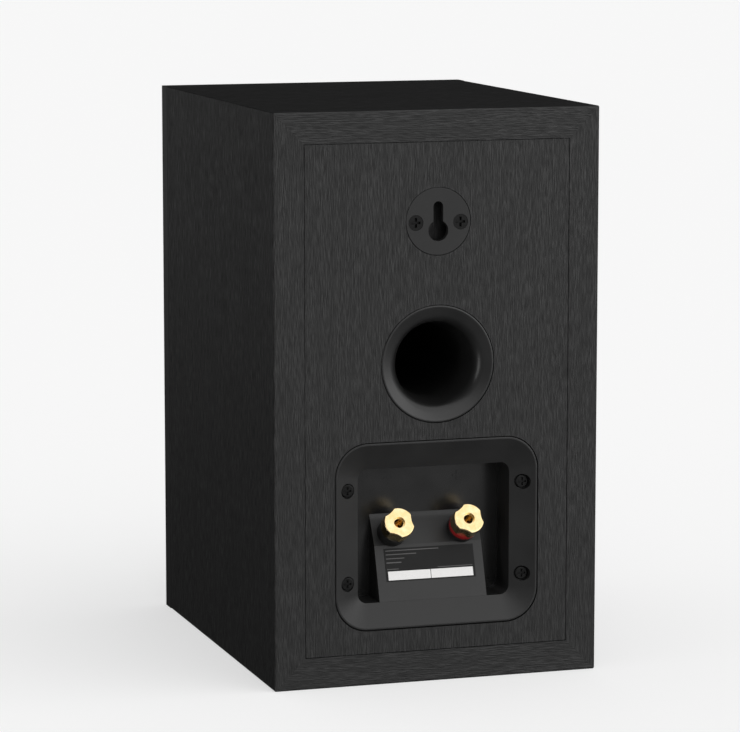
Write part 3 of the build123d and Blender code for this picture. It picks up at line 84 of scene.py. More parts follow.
class Finish:
    """A material under construction. Plain values are set on the shader's own sockets."""

    def __init__(self, name, **sockets):
        self.material = bpy.data.materials.new(name)
        self.material.use_nodes = True
        self.tree = self.material.node_tree
        self.shader = self.tree.nodes["Principled BSDF"]
        self.normal = None
        for socket, value in sockets.items():
            self.shader.inputs[socket.replace("_", " ")].default_value = value
        self.position = self.add("ShaderNodeTexCoord").outputs["Object"]

    def add(self, kind, **settings):
        node = self.tree.nodes.new(kind)
        for name, value in settings.items():
            setattr(node, name, value)
        return node

    def put(self, node, **values):
        """Sets or links inputs of a node by name."""
        for name, value in values.items():
            socket = node.inputs[name.replace("_", " ")]
            if isinstance(value, bpy.types.NodeSocket):
                self.tree.links.new(value, socket)
            else:
                socket.default_value = value
        return node

    def placed(self, stretch=(1, 1, 1), offset=(0, 0, 0)):
        """The point being shaded, stretched and moved."""
        mapping = self.add("ShaderNodeMapping")
        self.put(mapping, Vector=self.position, Scale=stretch, Location=offset)
        return mapping.outputs["Vector"]

    def noise(self, size, stretch=(1, 1, 1), detail=2.0, roughness=0.5, distortion=0.0):
        """Noise whose features are about size metres across, longer where stretch is below 1."""
        node = self.add("ShaderNodeTexNoise")
        self.put(
            node,
            Vector=self.placed(stretch),
            Scale=1 / size,
            Detail=detail,
            Roughness=roughness,
            Distortion=distortion,
        )
        return node.outputs[0]

    def cells(self, size, feature="F1"):
        """Distance from the middle of cells about size metres across."""
        node = self.add("ShaderNodeTexVoronoi", feature=feature)
        self.put(node, Vector=self.placed(), Scale=1 / size)
        return node.outputs["Distance"]

    def bands(self, pitch, direction, distortion=0.0):
        """Parallel ridges, one each pitch metres along an axis."""
        node = self.add("ShaderNodeTexWave", wave_type="BANDS", bands_direction=direction)
        self.put(node, Vector=self.position, Scale=WAVE_SCALE / pitch, Distortion=distortion)
        return node.outputs["Fac"]

    def rings(self, pitch, centre_z, distortion=0.0):
        """Turning marks round a driver's axis, one each pitch metres of radius."""
        node = self.add("ShaderNodeTexWave", wave_type="RINGS", rings_direction="Y")
        place = self.placed(offset=(0, 0, -centre_z))
        self.put(node, Vector=place, Scale=WAVE_SCALE / pitch, Distortion=distortion)
        return node.outputs["Fac"]

    def sine(self, value, turns):
        """Waves along the contours of a value."""
        return self.blend(self.blend(value, turns, kind="MULTIPLY"), 0.0, kind="SINE")

    def span(self, value, low, high, source=(0.0, 1.0)):
        """A value that runs from low to high as its source does."""
        node = self.add("ShaderNodeMapRange")
        self.put(node, Value=value, From_Min=source[0], From_Max=source[1], To_Min=low, To_Max=high)
        return node.outputs["Result"]

    def blend(self, a, b, share=0.5, kind="MIX"):
        """Two values as one: mixed by share, or by a Math node's operation."""
        if kind == "MIX":
            node = self.add("ShaderNodeMix", data_type="FLOAT")
            sockets = (node.inputs[0], node.inputs[2], node.inputs[3])
            values = (share, a, b)
        else:
            node = self.add("ShaderNodeMath", operation=kind)
            sockets = node.inputs
            values = (a, b)
        for socket, value in zip(sockets, values):
            if isinstance(value, bpy.types.NodeSocket):
                self.tree.links.new(value, socket)
            else:
                socket.default_value = value
        return node.outputs[0]

    def depth_share(self, low, high):
        """0 where y is below low and 1 above high, in metres."""
        split = self.add("ShaderNodeSeparateXYZ")
        self.put(split, Vector=self.position)
        return self.span(split.outputs["Y"], 0.0, 1.0, source=(low, high))

    def colour(self, value, *stops):
        """Base colour from a value, through (position, colour) stops."""
        ramp = self.add("ShaderNodeValToRGB")
        points = ramp.color_ramp.elements
        while len(points) < len(stops):
            points.new(0.5)
        for point, (place, shade) in zip(points, stops):
            point.position = place
            point.color = (*shade, 1.0)
        self.put(ramp, Fac=value)
        self.put(self.shader, Base_Color=ramp.outputs["Color"])

    def rough(self, value, low, high, source=(0.3, 0.7)):
        """Roughness that runs from low to high as a value does."""
        self.put(self.shader, Roughness=self.span(value, low, high, source))

    def relief(self, value, height, strength=1.0):
        """Bumps of the given height in metres, added to those that are there."""
        node = self.add("ShaderNodeBump")
        self.put(node, Height=value, Distance=height, Strength=strength)
        if self.normal is not None:
            self.put(node, Normal=self.normal)
        self.normal = node.outputs["Normal"]
        self.put(self.shader, Normal=self.normal)


def grey(level, warmth=0.0):
    """A grey, with red raised and blue lowered by the share warmth."""
    return (level * (1 + warmth), level, level * (1 - warmth))


def drawn_out(along, share):
    """A stretch that makes features 1 / share times longer along one axis."""
    stretch = [1.0, 1.0, 1.0]
    stretch[along] = share
    return stretch


def ash_wrap(name, along):
    """Embossed ash-grain vinyl: short fine ridges that follow the figure, with open pores."""
    finish = Finish(name, Specular_IOR_Level=0.5)
    fine_stretch = drawn_out(along, 0.085)
    figure_stretch = drawn_out(along, 0.09)
    contours = 45.0
    ridges = finish.noise(0.50 * MM, fine_stretch, detail=2.0, roughness=0.6)
    ridges = finish.span(ridges, 0.0, 1.0, source=(0.34, 0.66))
    pores = finish.noise(0.36 * MM, fine_stretch, detail=1.0)
    open_pores = finish.span(pores, 1.0, 0.0, source=(0.30, 0.42))
    field = finish.noise(11 * MM, figure_stretch, detail=1.0, roughness=0.4)
    figure = finish.span(finish.sine(field, contours), 0.72, 1.0, source=(-1.0, 1.0))
    patches = finish.noise(40 * MM, detail=1.0)
    grain = finish.blend(ridges, figure, kind="MULTIPLY")
    marked = finish.blend(grain, finish.span(open_pores, 0.0, -0.3), kind="ADD")
    finish.colour(marked, (0.05, grey(0.0030)), (0.40, grey(0.0065)), (0.85, grey(0.0170)))
    finish.rough(finish.blend(grain, patches, 0.25), 0.62, 0.38, source=(0.1, 0.8))
    finish.relief(grain, 0.11 * MM, 0.7)
    finish.relief(open_pores, -0.06 * MM, 0.6)
    return finish.material


def satin_film(name):
    """Plain black film with a soft sheen, for the baffle."""
    finish = Finish(name, Specular_IOR_Level=0.45)
    skin = finish.noise(0.55 * MM, detail=2.0)
    patches = finish.noise(30 * MM)
    finish.colour(patches, (0.3, grey(0.0085)), (0.7, grey(0.0115)))
    finish.rough(finish.blend(skin, patches, 0.4), 0.42, 0.52)
    finish.relief(skin, 0.03 * MM, 0.5)
    return finish.material


def moulded(name, level, low_gloss, high_gloss, texture=0.30, depth=0.03, specular=0.5):
    """Black moulding with a fine spark-eroded texture and faint rubbed patches."""
    finish = Finish(name, Specular_IOR_Level=specular)
    grain = finish.noise(texture * MM, detail=2.0, roughness=0.6)
    rubbed = finish.noise(14 * MM, detail=2.0)
    finish.colour(rubbed, (0.3, grey(level * 0.85)), (0.7, grey(level * 1.2)))
    finish.rough(finish.blend(grain, rubbed, 0.55), low_gloss, high_gloss)
    finish.relief(grain, depth * MM, 0.5)
    return finish.material


def cup_moulding(name):
    """The terminal cup: satin texture outside, and a glossier back wall in the pocket."""
    finish = Finish(name, Specular_IOR_Level=0.5)
    grain = finish.noise(0.30 * MM, detail=2.0, roughness=0.6)
    rubbed = finish.noise(14 * MM, detail=2.0)
    pocket_floor, wall_foot = 71.2, 72.0
    face = finish.depth_share(pocket_floor * MM, wall_foot * MM)
    finish.colour(rubbed, (0.3, grey(0.0075)), (0.7, grey(0.0105)))
    textured = finish.span(finish.blend(grain, rubbed, 0.5), 0.40, 0.52, source=(0.3, 0.7))
    polished = finish.span(rubbed, 0.20, 0.27, source=(0.3, 0.7))
    finish.put(finish.shader, Roughness=finish.blend(polished, textured, face))
    finish.relief(finish.blend(grain, face, kind="MULTIPLY"), 0.03 * MM, 0.5)
    return finish.material


def rubber(name, level=0.008):
    """Black rubber with a dusty bloom."""
    finish = Finish(name, Specular_IOR_Level=0.4, Sheen_Weight=0.12, Sheen_Roughness=0.4)
    skin = finish.noise(0.35 * MM, detail=3.0)
    bloom = finish.noise(9 * MM, detail=2.0)
    finish.colour(bloom, (0.3, grey(level * 0.8)), (0.75, grey(level * 1.5)))
    finish.rough(finish.blend(skin, bloom, 0.5), 0.42, 0.58)
    finish.relief(skin, 0.02 * MM, 0.4)
    return finish.material


def foam(name):
    """Open-celled black foam."""
    finish = Finish(name, Specular_IOR_Level=0.2)
    pits = finish.cells(0.8 * MM)
    finish.colour(pits, (0.1, grey(0.006)), (0.8, grey(0.022)))
    finish.rough(pits, 0.80, 0.95)
    finish.relief(pits, 0.20 * MM, 0.7)
    return finish.material


def painted_steel(name, level, low_gloss, high_gloss, worn=0.0, specular=0.5):
    """Oxide or paint on steel, a little brighter where it is rubbed."""
    finish = Finish(name, Specular_IOR_Level=specular)
    speck = finish.noise(0.25 * MM, detail=3.0, roughness=0.6)
    wear = finish.noise(2.2 * MM, detail=3.0, roughness=0.65)
    shade = finish.blend(speck, wear, 0.6)
    stops = [(0.35, grey(level * 0.8)), (0.62, grey(level * 1.15))]
    if worn:
        stops.append((0.80, grey(level + worn)))
    finish.colour(shade, *stops)
    finish.rough(shade, low_gloss, high_gloss)
    finish.relief(speck, 0.012 * MM, 0.5)
    return finish.material


def plated(name, dark, light, low_gloss, high_gloss):
    """Polished plating with fine machining lines and a little tarnish."""
    finish = Finish(name, Metallic=1.0)
    tarnish = finish.noise(2.6 * MM, detail=3.0)
    lines = finish.noise(0.10 * MM, (1.0, 0.12, 1.0), detail=1.0)
    finish.colour(tarnish, (0.30, dark), (0.72, light))
    finish.rough(finish.blend(tarnish, lines, 0.4), low_gloss, high_gloss)
    finish.relief(lines, 0.006 * MM, 0.35)
    return finish.material


def coloured_collar(name, dark, light):
    """Glossy moulding in one colour, clear-coated."""
    finish = Finish(name, Specular_IOR_Level=0.5, Coat_Weight=0.3, Coat_Roughness=0.15)
    flow = finish.noise(1.8 * MM, detail=2.0)
    skin = finish.noise(0.2 * MM)
    finish.colour(flow, (0.3, dark), (0.7, light))
    finish.rough(finish.blend(flow, skin, 0.5), 0.26, 0.36)
    finish.relief(skin, 0.008 * MM, 0.4)
    return finish.material


def printed(name, low, high):
    """Ink or blank paper on the label."""
    finish = Finish(name, Specular_IOR_Level=0.35)
    fibre = finish.noise(0.12 * MM, (1.0, 1.0, 0.4), detail=3.0)
    finish.colour(fibre, (0.3, grey(low, 0.01)), (0.7, grey(high, 0.01)))
    finish.rough(fibre, 0.45, 0.60)
    finish.relief(fibre, 0.006 * MM, 0.4)
    return finish.material


def circuit_board(name):
    """Brown pressed board with its glass weave just showing."""
    finish = Finish(name, Specular_IOR_Level=0.5)
    dark, light = (0.10, 0.055, 0.02), (0.16, 0.095, 0.04)
    weave = finish.blend(finish.bands(0.5 * MM, "X"), finish.bands(0.5 * MM, "Z"), 0.5)
    tint = finish.noise(8 * MM)
    finish.colour(finish.blend(weave, tint, 0.4), (0.2, dark), (0.8, light))
    finish.rough(tint, 0.38, 0.50)
    finish.relief(weave, 0.02 * MM, 0.4)
    return finish.material


def winding(name, pitch):
    """Enamelled copper wire, wound side by side."""
    finish = Finish(name, Metallic=0.85, Coat_Weight=0.5, Coat_Roughness=0.12)
    turns = finish.bands(pitch, "Y", distortion=0.05)
    enamel = finish.noise(3 * MM)
    shade = finish.blend(turns, enamel, 0.35)
    finish.colour(shade, (0.1, (0.17, 0.035, 0.012)), (0.9, (0.56, 0.19, 0.07)))
    finish.rough(enamel, 0.22, 0.36)
    finish.relief(turns, pitch * 0.4, 0.8)
    return finish.material


def sleeve(name, dark, light):
    """Shrink film or dipped coating on a component."""
    finish = Finish(name, Specular_IOR_Level=0.5)
    ripple = finish.noise(2.0 * MM, (1.0, 1.0, 0.4), detail=2.0)
    skin = finish.noise(0.3 * MM)
    finish.colour(ripple, (0.3, dark), (0.7, light))
    finish.rough(finish.blend(ripple, skin, 0.4), 0.28, 0.42)
    finish.relief(ripple, 0.05 * MM, 0.4)
    return finish.material


def fired_clay(name):
    """Pale gritty ceramic."""
    finish = Finish(name, Specular_IOR_Level=0.3)
    grit = finish.cells(0.35 * MM)
    patch = finish.noise(4 * MM, detail=3.0)
    finish.colour(finish.blend(grit, patch, 0.5), (0.2, grey(0.42, 0.03)), (0.8, grey(0.68, 0.02)))
    finish.rough(grit, 0.75, 0.92)
    finish.relief(grit, 0.08 * MM, 0.6)
    return finish.material


def pulp(name, level, centre_z, sheen=0.1):
    """Pressed paper: fibres, with faint concentric tooling."""
    finish = Finish(name, Specular_IOR_Level=0.35, Sheen_Weight=sheen, Sheen_Roughness=0.5)
    fibre = finish.noise(0.45 * MM, detail=4.0, roughness=0.65, distortion=0.6)
    clumps = finish.noise(3.5 * MM, detail=2.0)
    tooling = finish.rings(1.1 * MM, centre_z)
    finish.colour(finish.blend(fibre, clumps, 0.4), (0.3, grey(level * 0.7)), (0.7, grey(level * 1.5)))
    finish.rough(fibre, 0.55, 0.75)
    finish.relief(fibre, 0.06 * MM, 0.6)
    finish.relief(tooling, 0.03 * MM, 0.5)
    return finish.material


def woven(name, dark, light, thread, sheen=0.3):
    """Plain weave of threads across X and Z."""
    finish = Finish(name, Specular_IOR_Level=0.25, Sheen_Weight=sheen, Sheen_Roughness=0.5)
    warp = finish.bands(thread, "X", distortion=0.15)
    weft = finish.bands(thread, "Z", distortion=0.15)
    cloth = finish.blend(warp, weft, kind="MULTIPLY")
    tone = finish.noise(2.5 * MM, detail=2.0)
    finish.colour(finish.blend(cloth, tone, 0.4), (0.15, dark), (0.75, light))
    finish.rough(tone, 0.65, 0.85)
    finish.relief(cloth, thread * 0.35, 0.7)
    return finish.material


def turned_steel(name, centre_z):
    """Bare steel with lathe marks round a driver's axis."""
    finish = Finish(name, Metallic=0.9)
    marks = finish.rings(0.35 * MM, centre_z, distortion=0.2)
    oxide = finish.noise(3.0 * MM, detail=3.0)
    finish.colour(finish.blend(marks, oxide, 0.6), (0.3, grey(0.10, 0.02)), (0.7, grey(0.24, 0.03)))
    finish.rough(oxide, 0.30, 0.48)
    finish.relief(marks, 0.02 * MM, 0.5)
    return finish.material


def fired_ferrite(name):
    """Dark sintered magnet, gritty and slightly chipped."""
    finish = Finish(name, Specular_IOR_Level=0.4)
    grit = finish.noise(0.3 * MM, detail=4.0, roughness=0.7)
    chips = finish.cells(6 * MM, feature="SMOOTH_F1")
    finish.colour(finish.blend(grit, chips, 0.3), (0.3, grey(0.018)), (0.7, grey(0.045)))
    finish.rough(grit, 0.58, 0.78)
    finish.relief(grit, 0.06 * MM, 0.5)
    return finish.material


def insulated(name, dark, light):
    """Wire insulation: soft extruded plastic with a fine draw along it."""
    finish = Finish(name, Specular_IOR_Level=0.45)
    draw = finish.noise(0.3 * MM, (1.0, 0.3, 0.3), detail=2.0)
    tone = finish.noise(7 * MM)
    finish.colour(tone, (0.3, dark), (0.7, light))
    finish.rough(finish.blend(draw, tone, 0.5), 0.36, 0.50)
    finish.relief(draw, 0.015 * MM, 0.4)
    return finish.material


def fibre_wadding(name):
    """Loose white polyester fibre."""
    finish = Finish(name, Specular_IOR_Level=0.15, Sheen_Weight=0.5, Sheen_Roughness=0.6)
    strands = finish.noise(0.5 * MM, (1.0, 0.25, 0.6), detail=4.0, roughness=0.7, distortion=2.5)
    tufts = finish.noise(9 * MM, detail=3.0)
    finish.colour(finish.blend(strands, tufts, 0.4), (0.25, grey(0.40, 0.02)), (0.75, grey(0.82, 0.01)))
    finish.rough(strands, 0.85, 0.98)
    finish.relief(strands, 0.6 * MM, 0.8)
    return finish.material


FINISHES = {
    "cabinet_wrap": ash_wrap("ash_wrap_upright", along=2),
    "baffle_finish": satin_film("satin_film"),
    "keyhole_plastic": moulded("keyhole_moulding", 0.012, 0.55, 0.68, depth=0.035),
    "socket_rubber": rubber("socket_rubber"),
    "port_plastic": moulded("port_moulding", 0.009, 0.28, 0.36, depth=0.010),
    "cup_plastic": cup_moulding("cup_moulding"),
    "gasket_foam": foam("gasket_foam"),
    "black_screw": painted_steel("black_screw", 0.003, 0.36, 0.50, worn=0.006, specular=0.22),
    "label_stock": moulded("label_stock", 0.004, 0.50, 0.62, texture=0.15, depth=0.005, specular=0.28),
    "gold_plate": plated("gold_plate", (0.92, 0.66, 0.30), (1.0, 0.83, 0.50), 0.15, 0.23),
    "red_plastic": coloured_collar("red_collar", (0.16, 0.004, 0.005), (0.26, 0.008, 0.008)),
    "black_collar": coloured_collar("black_collar", grey(0.006), grey(0.011)),
    "post_base_plastic": moulded("post_base_moulding", 0.010, 0.36, 0.48, depth=0.012),
    "plated_brass": plated("plated_brass", (0.55, 0.52, 0.46), (0.76, 0.72, 0.64), 0.26, 0.40),
    "circuit_board": circuit_board("circuit_board"),
    "nylon": moulded("nylon", 0.60, 0.38, 0.52, texture=0.6, depth=0.01),
    "zinc_screw": plated("zinc_screw", (0.46, 0.48, 0.52), (0.68, 0.70, 0.74), 0.26, 0.42),
    "bobbin_plastic": moulded("bobbin_moulding", 0.016, 0.36, 0.50),
    "copper_winding": winding("copper_winding", 0.6 * MM),
    "film_capacitor_sleeve": sleeve("film_capacitor_sleeve", (0.42, 0.10, 0.012), (0.60, 0.17, 0.02)),
    "electrolytic_sleeve": sleeve("electrolytic_sleeve", (0.015, 0.03, 0.09), (0.03, 0.055, 0.15)),
    "cement_resistor": fired_clay("cement_resistor"),
    "basket_paint": painted_steel("basket_paint", 0.016, 0.38, 0.52),
    "trim_rubber": moulded("trim_moulding", 0.010, 0.42, 0.54, depth=0.015),
    "surround_rubber": rubber("surround_rubber", 0.010),
    "cone_paper": pulp("cone_paper", 0.018, WOOFER_Z * MM),
    "dust_cap_paper": pulp("dust_cap_paper", 0.014, WOOFER_Z * MM, sheen=0.2),
    "former_paper": sleeve("former_film", (0.30, 0.16, 0.05), (0.42, 0.24, 0.09)),
    "spider_cloth": woven("spider_cloth", (0.32, 0.17, 0.03), (0.66, 0.40, 0.10), 0.55 * MM, 0.2),
    "motor_steel": turned_steel("motor_steel", WOOFER_Z * MM),
    "ferrite": fired_ferrite("ferrite"),
    "strip_board": circuit_board("strip_board"),
    "faceplate_plastic": moulded("faceplate_moulding", 0.011, 0.44, 0.56, depth=0.02),
    "tweeter_cloth": woven("tweeter_cloth", grey(0.004), grey(0.022), 0.22 * MM, 0.35),
    "wire_black": insulated("wire_black", grey(0.010), grey(0.018)),
    "wire_grey": insulated("wire_grey", grey(0.16), grey(0.24)),
    "wire_red": insulated("wire_red", (0.35, 0.008, 0.008), (0.50, 0.015, 0.012)),
    "wadding_fibre": fibre_wadding("wadding_fibre"),
}
NODE_FINISHES = {
    "top_panel": ash_wrap("ash_wrap_crosswise", along=0),
    "tweeter_top_plate": turned_steel("motor_steel_tweeter", TWEETER_Z * MM),
}
NODE_FINISHES["bottom_panel"] = NODE_FINISHES["top_panel"]
NODE_FINISHES["tweeter_yoke"] = NODE_FINISHES["tweeter_top_plate"]


for node_name, node_object in NODES.items():
    material = NODE_FINISHES.get(node_name, FINISHES[SLOT_OF[node_name]])
    for material_slot in node_object.material_slots:
        material_slot.material = material


# ================================================================ pieces in mesh code
WELD = 1e-7  # metres


def new_piece(name, mesh_builder, slot, sharp_angle=35.0, finish=None):
    """A piece whose mesh the builder fills in, with its own finish or else the finish of its slot."""
    mesh = bpy.data.meshes.new(name)
    piece = bpy.data.objects.new(name, mesh)
    bpy.context.scene.collection.objects.link(piece)
    work = bmesh.new()
    mesh_builder(work)
    bmesh.ops.remove_doubles(work, verts=work.verts, dist=WELD)
    bmesh.ops.recalc_face_normals(work, faces=work.faces)
    work.to_mesh(mesh)
    work.free()
    mesh.shade_smooth()
    mesh.set_sharp_from_angle(angle=math.radians(sharp_angle))
    mesh.materials.append(FINISHES[finish or slot])
    return piece


def lathe(work, outline_mm, centre_z_mm, around):
    """Turns a closed outline of (radius, y) points round an axis along Y at a height."""
    rings = []
    for step in range(around):
        angle = 2 * math.pi * step / around
        ring = []
        for radius, y in outline_mm:
            place = Vector((radius * math.cos(angle), y, centre_z_mm + radius * math.sin(angle)))
            ring.append(work.verts.new(place * MM))
        rings.append(ring)
    count = len(outline_mm)
    for step in range(around):
        here, there = rings[step], rings[(step + 1) % around]
        for i in range(count):
            j = (i + 1) % count
            work.faces.new((here[i], here[j], there[j], there[i]))


def arc(centre, radius, start_deg, end_deg, steps):
    """Points along an arc, both ends included."""
    points = []
    for i in range(steps + 1):
        angle = math.radians(start_deg + (end_deg - start_deg) * i / steps)
        points.append((centre[0] + radius * math.cos(angle), centre[1] + radius * math.sin(angle)))
    return points


def blend_round(piece, centre_z_mm):
    """Moves each vertex out to its distance from the axis at centre_z_mm, bakes the transform in, then
    puts every vertex back.
    """
    vertices = piece.data.vertices
    true_places = [vertex.co.copy() for vertex in vertices]
    for vertex, place in zip(vertices, true_places):
        vertex.co = (math.hypot(place.x, place.z - centre_z_mm * MM), 0, 0)
    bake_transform(piece)
    for vertex, place in zip(vertices, true_places):
        vertex.co = place


def surround_outline(centre, base, outer, wall, lip_in, lip_out, bead):
    """Half roll with a flat lip on each side, and a moulded bead on each lip unless bead is 0."""
    lip = base - wall
    half_gap = math.sqrt(outer**2 - wall**2)
    reach = math.degrees(math.asin(wall / outer))

    def rib(middle):
        if not bead:
            return []
        return [(middle - bead, lip), (middle, lip - bead * 0.5), (middle + bead, lip)]

    points = [(lip_in, base), (lip_in, lip)]
    points += rib((lip_in + centre - half_gap) / 2)
    points += arc((centre, base), outer, 180 + reach, 360 - reach, 28)
    points += rib(centre + half_gap + bead * 3)
    points += [(lip_out, lip), (lip_out, base)]
    points += arc((centre, base), outer - wall, 360, 180, 24)
    return points


def make_woofer_surround(work):
    outline = surround_outline(
        centre=41.7, base=FRONT_Y + 6.0, outer=3.6, wall=0.8, lip_in=36.3, lip_out=48.0, bead=0.30
    )
    lathe(work, outline, WOOFER_Z, around=240)


def make_tweeter_surround(work):
    outline = surround_outline(
        centre=14.35, base=FRONT_Y + 5.55, outer=1.75, wall=0.4, lip_in=12.62, lip_out=20.0, bead=0.0
    )
    lathe(work, outline, TWEETER_Z, around=160)


def make_spider(work):
    """Corrugated cloth disc, flat at the former and on the basket's ledge."""
    inner, flat_in, flat_out, outer = 13.05, 14.7, 30.0, 33.6
    depth, thick = 24.4, 0.5
    corrugations, swing, fade = 5, 0.95, 8
    steps = 96
    front = [(inner, depth)]
    for i in range(steps + 1):
        share = i / steps
        ease = min(1.0, share * fade, (1 - share) * fade)
        wave = swing * ease * math.sin(2 * math.pi * corrugations * share)
        front.append((flat_in + (flat_out - flat_in) * share, depth - wave))
    front.append((outer, depth))
    back = [(radius, place + thick) for radius, place in reversed(front)]
    lathe(work, [(radius, FRONT_Y + place) for radius, place in front + back], WOOFER_Z, around=200)


def port_mouth(bore):
    """Ring, shallow dish, rounded shoulder and throat, as (radius, depth) from the rear face."""
    ring, ring_thick, ring_chamfer = 24.3, 2.5, 0.35
    lip, lip_round, dish, dish_depth = 23.2, 0.25, 20.4, 1.0
    shoulder, slope, throat_slope = 5.5, 19.6, 80.0
    centre = (
        dish + shoulder * math.sin(math.radians(slope)),
        dish_depth + shoulder * math.cos(math.radians(slope)),
    )
    points = [(ring, ring_thick), (ring, ring_chamfer), (ring - 0.10, 0.10), (ring - ring_chamfer, 0.0)]
    points += [(lip + lip_round, 0.0), (lip, 0.06), (dish, dish_depth)]
    points += arc(centre, shoulder, 270 - slope, 270 - throat_slope, 14)[1:]
    start, start_depth = points[-1]
    narrowing = start - bore
    drop = narrowing * math.tan(math.radians(throat_slope))
    points += [(start - narrowing * share, start_depth + drop * share) for share in (0.4, 0.75)]
    return points + [(bore, start_depth + drop * 1.1)]


def make_port(work):
    """The port's mouth, its tube with a flared inner end, and the hub behind the ring."""
    bore, outer, hub = 15.0, 17.0, 19.4
    ring_thick, hub_depth, hub_taper = 2.5, 11.0, 2.5
    flare_depth, end_depth = 105.0, 110.0
    points = port_mouth(bore)
    points += [(bore, flare_depth), (bore + 0.35, 107.2), (bore + 1.3, 108.9), (bore + 3.0, end_depth)]
    points += [(outer + 3.0, end_depth), (outer + 1.2, 108.6), (outer + 0.3, 106.9), (outer, flare_depth)]
    points += [(outer, hub_depth + hub_taper), (hub, hub_depth), (hub, ring_thick)]
    lathe(work, [(radius, REAR_Y - depth) for radius, depth in points], PORT_Z, around=256)


def wadding_path():
    """The sheet's middle line as (x, z) with its outward direction: up, round, across and down."""
    middle_x, top_z, low_z, corner = 51.6, 218.6, 30.0, 9.0
    spacing, turns = 3.0, 6
    side_run = top_z - corner - low_z
    side_count = int(side_run / spacing)
    across = 2 * (middle_x - corner)
    across_count = int(across / spacing)

    def bend(centre_x, start):
        """A quarter turn at an upper corner."""
        stretch = []
        for i in range(turns + 1):
            angle = start - math.pi / 2 * i / turns
            out = (math.cos(angle), math.sin(angle))
            stretch.append(((centre_x + corner * out[0], top_z - corner + corner * out[1]), out))
        return stretch

    path = [((-middle_x, low_z + side_run * i / side_count), (-1.0, 0.0)) for i in range(side_count)]
    path += bend(-middle_x + corner, math.pi)
    for i in range(1, across_count):
        path.append(((-middle_x + corner + across * i / across_count, top_z), (0.0, 1.0)))
    path += bend(middle_x - corner, math.pi / 2)
    for i in range(1, side_count + 1):
        path.append(((middle_x, top_z - corner - side_run * i / side_count), (1.0, 0.0)))
    return path


def wadding_section(half_width, half_thick, around):
    """A flat sheet's section with soft edges, as (wide, thick) points."""
    edge_power, face_power = 0.22, 0.55
    section = []
    for i in range(around):
        angle = 2 * math.pi * i / around
        c, s = math.cos(angle), math.sin(angle)
        wide = math.copysign(abs(c) ** edge_power, c) * half_width
        thick = math.copysign(abs(s) ** face_power, s) * half_thick
        section.append((wide, thick))
    return section


def close_end(work, ring):
    """Faces across a ring, from each pair of neighbours to the pair opposite."""
    around = len(ring)
    for i in range(around // 2):
        opposite = ring[(around - i - 1) % around], ring[(around - i) % around]
        corners = list(dict.fromkeys((ring[i], ring[i + 1], *opposite)))
        if len(corners) > 2:
            work.faces.new(corners)


def make_wadding(work):
    """A folded sheet of fibre along both sides and over the top, soft-edged and lumpy."""
    y_low, y_high = -20.0, 52.0
    half_thick = 5.0
    around = 60
    lump_scale, lump_height = 0.07, 0.9
    fluff_scale, fluff_height, fluff_shift = 0.45, 0.45, 40
    end_start, end_rows = 0.35, 2.5
    path = wadding_path()
    last = len(path) - 1
    rings = []
    for index, ((x, z), out) in enumerate(path):
        end = min(index, last - index)
        taper = math.sin(math.pi / 2 * min(1.0, (end + end_start) / end_rows)) ** 0.5
        ring = []
        for wide, thick in wadding_section((y_high - y_low) / 2, half_thick, around):
            lump = noise.noise(Vector((x, wide, z)) * lump_scale) * lump_height
            fluff = noise.noise(Vector((x, wide, z + fluff_shift)) * fluff_scale) * fluff_height
            depth = thick * (0.90 + 0.10 * lump) * taper + fluff * 0.5
            depth = max(-half_thick, min(half_thick, depth))
            spread = wide * (0.985 + 0.012 * lump)
            place = Vector((x + out[0] * depth, (y_low + y_high) / 2 + spread, z + out[1] * depth))
            ring.append(work.verts.new(place * MM))
        rings.append(ring)
    for here, there in zip(rings, rings[1:]):
        for i in range(around):
            j = (i + 1) % around
            work.faces.new((here[i], here[j], there[j], there[i]))
    close_end(work, rings[0])
    close_end(work, rings[-1])


woofer_surround = new_piece("woofer_surround_roll", make_woofer_surround, "surround_rubber")
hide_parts("woofer_surround")
blend_round(woofer_surround, WOOFER_Z)

woofer_spider = new_piece("woofer_spider_cloth", make_spider, "spider_cloth")
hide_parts("woofer_spider")
blend_round(woofer_spider, WOOFER_Z)

tweeter_surround = new_piece("tweeter_surround_roll", make_tweeter_surround, "tweeter_cloth")
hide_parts("tweeter_surround")
blend_round(tweeter_surround, TWEETER_Z)

port = new_piece("port_moulding", make_port, "port_plastic", sharp_angle=50)
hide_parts("port_tube")
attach(port, "cabinet")

wadding = new_piece("damping_wadding_fibre", make_wadding, "wadding_fibre", sharp_angle=80)
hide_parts("damping_wadding")
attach(wadding, "cabinet")


# ================================================================ label print
def face_frame(node, outward):
    """Centre, right, up and normal of a thin plate's outer face, seen from outside."""
    same_way, same_level = 0.7, 0.02 * MM
    mesh = NODES[node].data
    facing = [p for p in mesh.polygons if p.normal.dot(outward) > same_way]
    normal = sum((p.normal * p.area for p in facing), Vector()).normalized()
    level = max(mesh.vertices[i].co.dot(normal) for p in facing for i in p.vertices)
    outer = [p for p in facing if p.center.dot(normal) > level - same_level]
    area = sum(p.area for p in outer)
    centre = sum((p.center * p.area for p in outer), Vector()) / area
    up = (Vector((0, 0, 1)) - normal * normal.z).normalized()
    return centre, up.cross(normal), up, normal


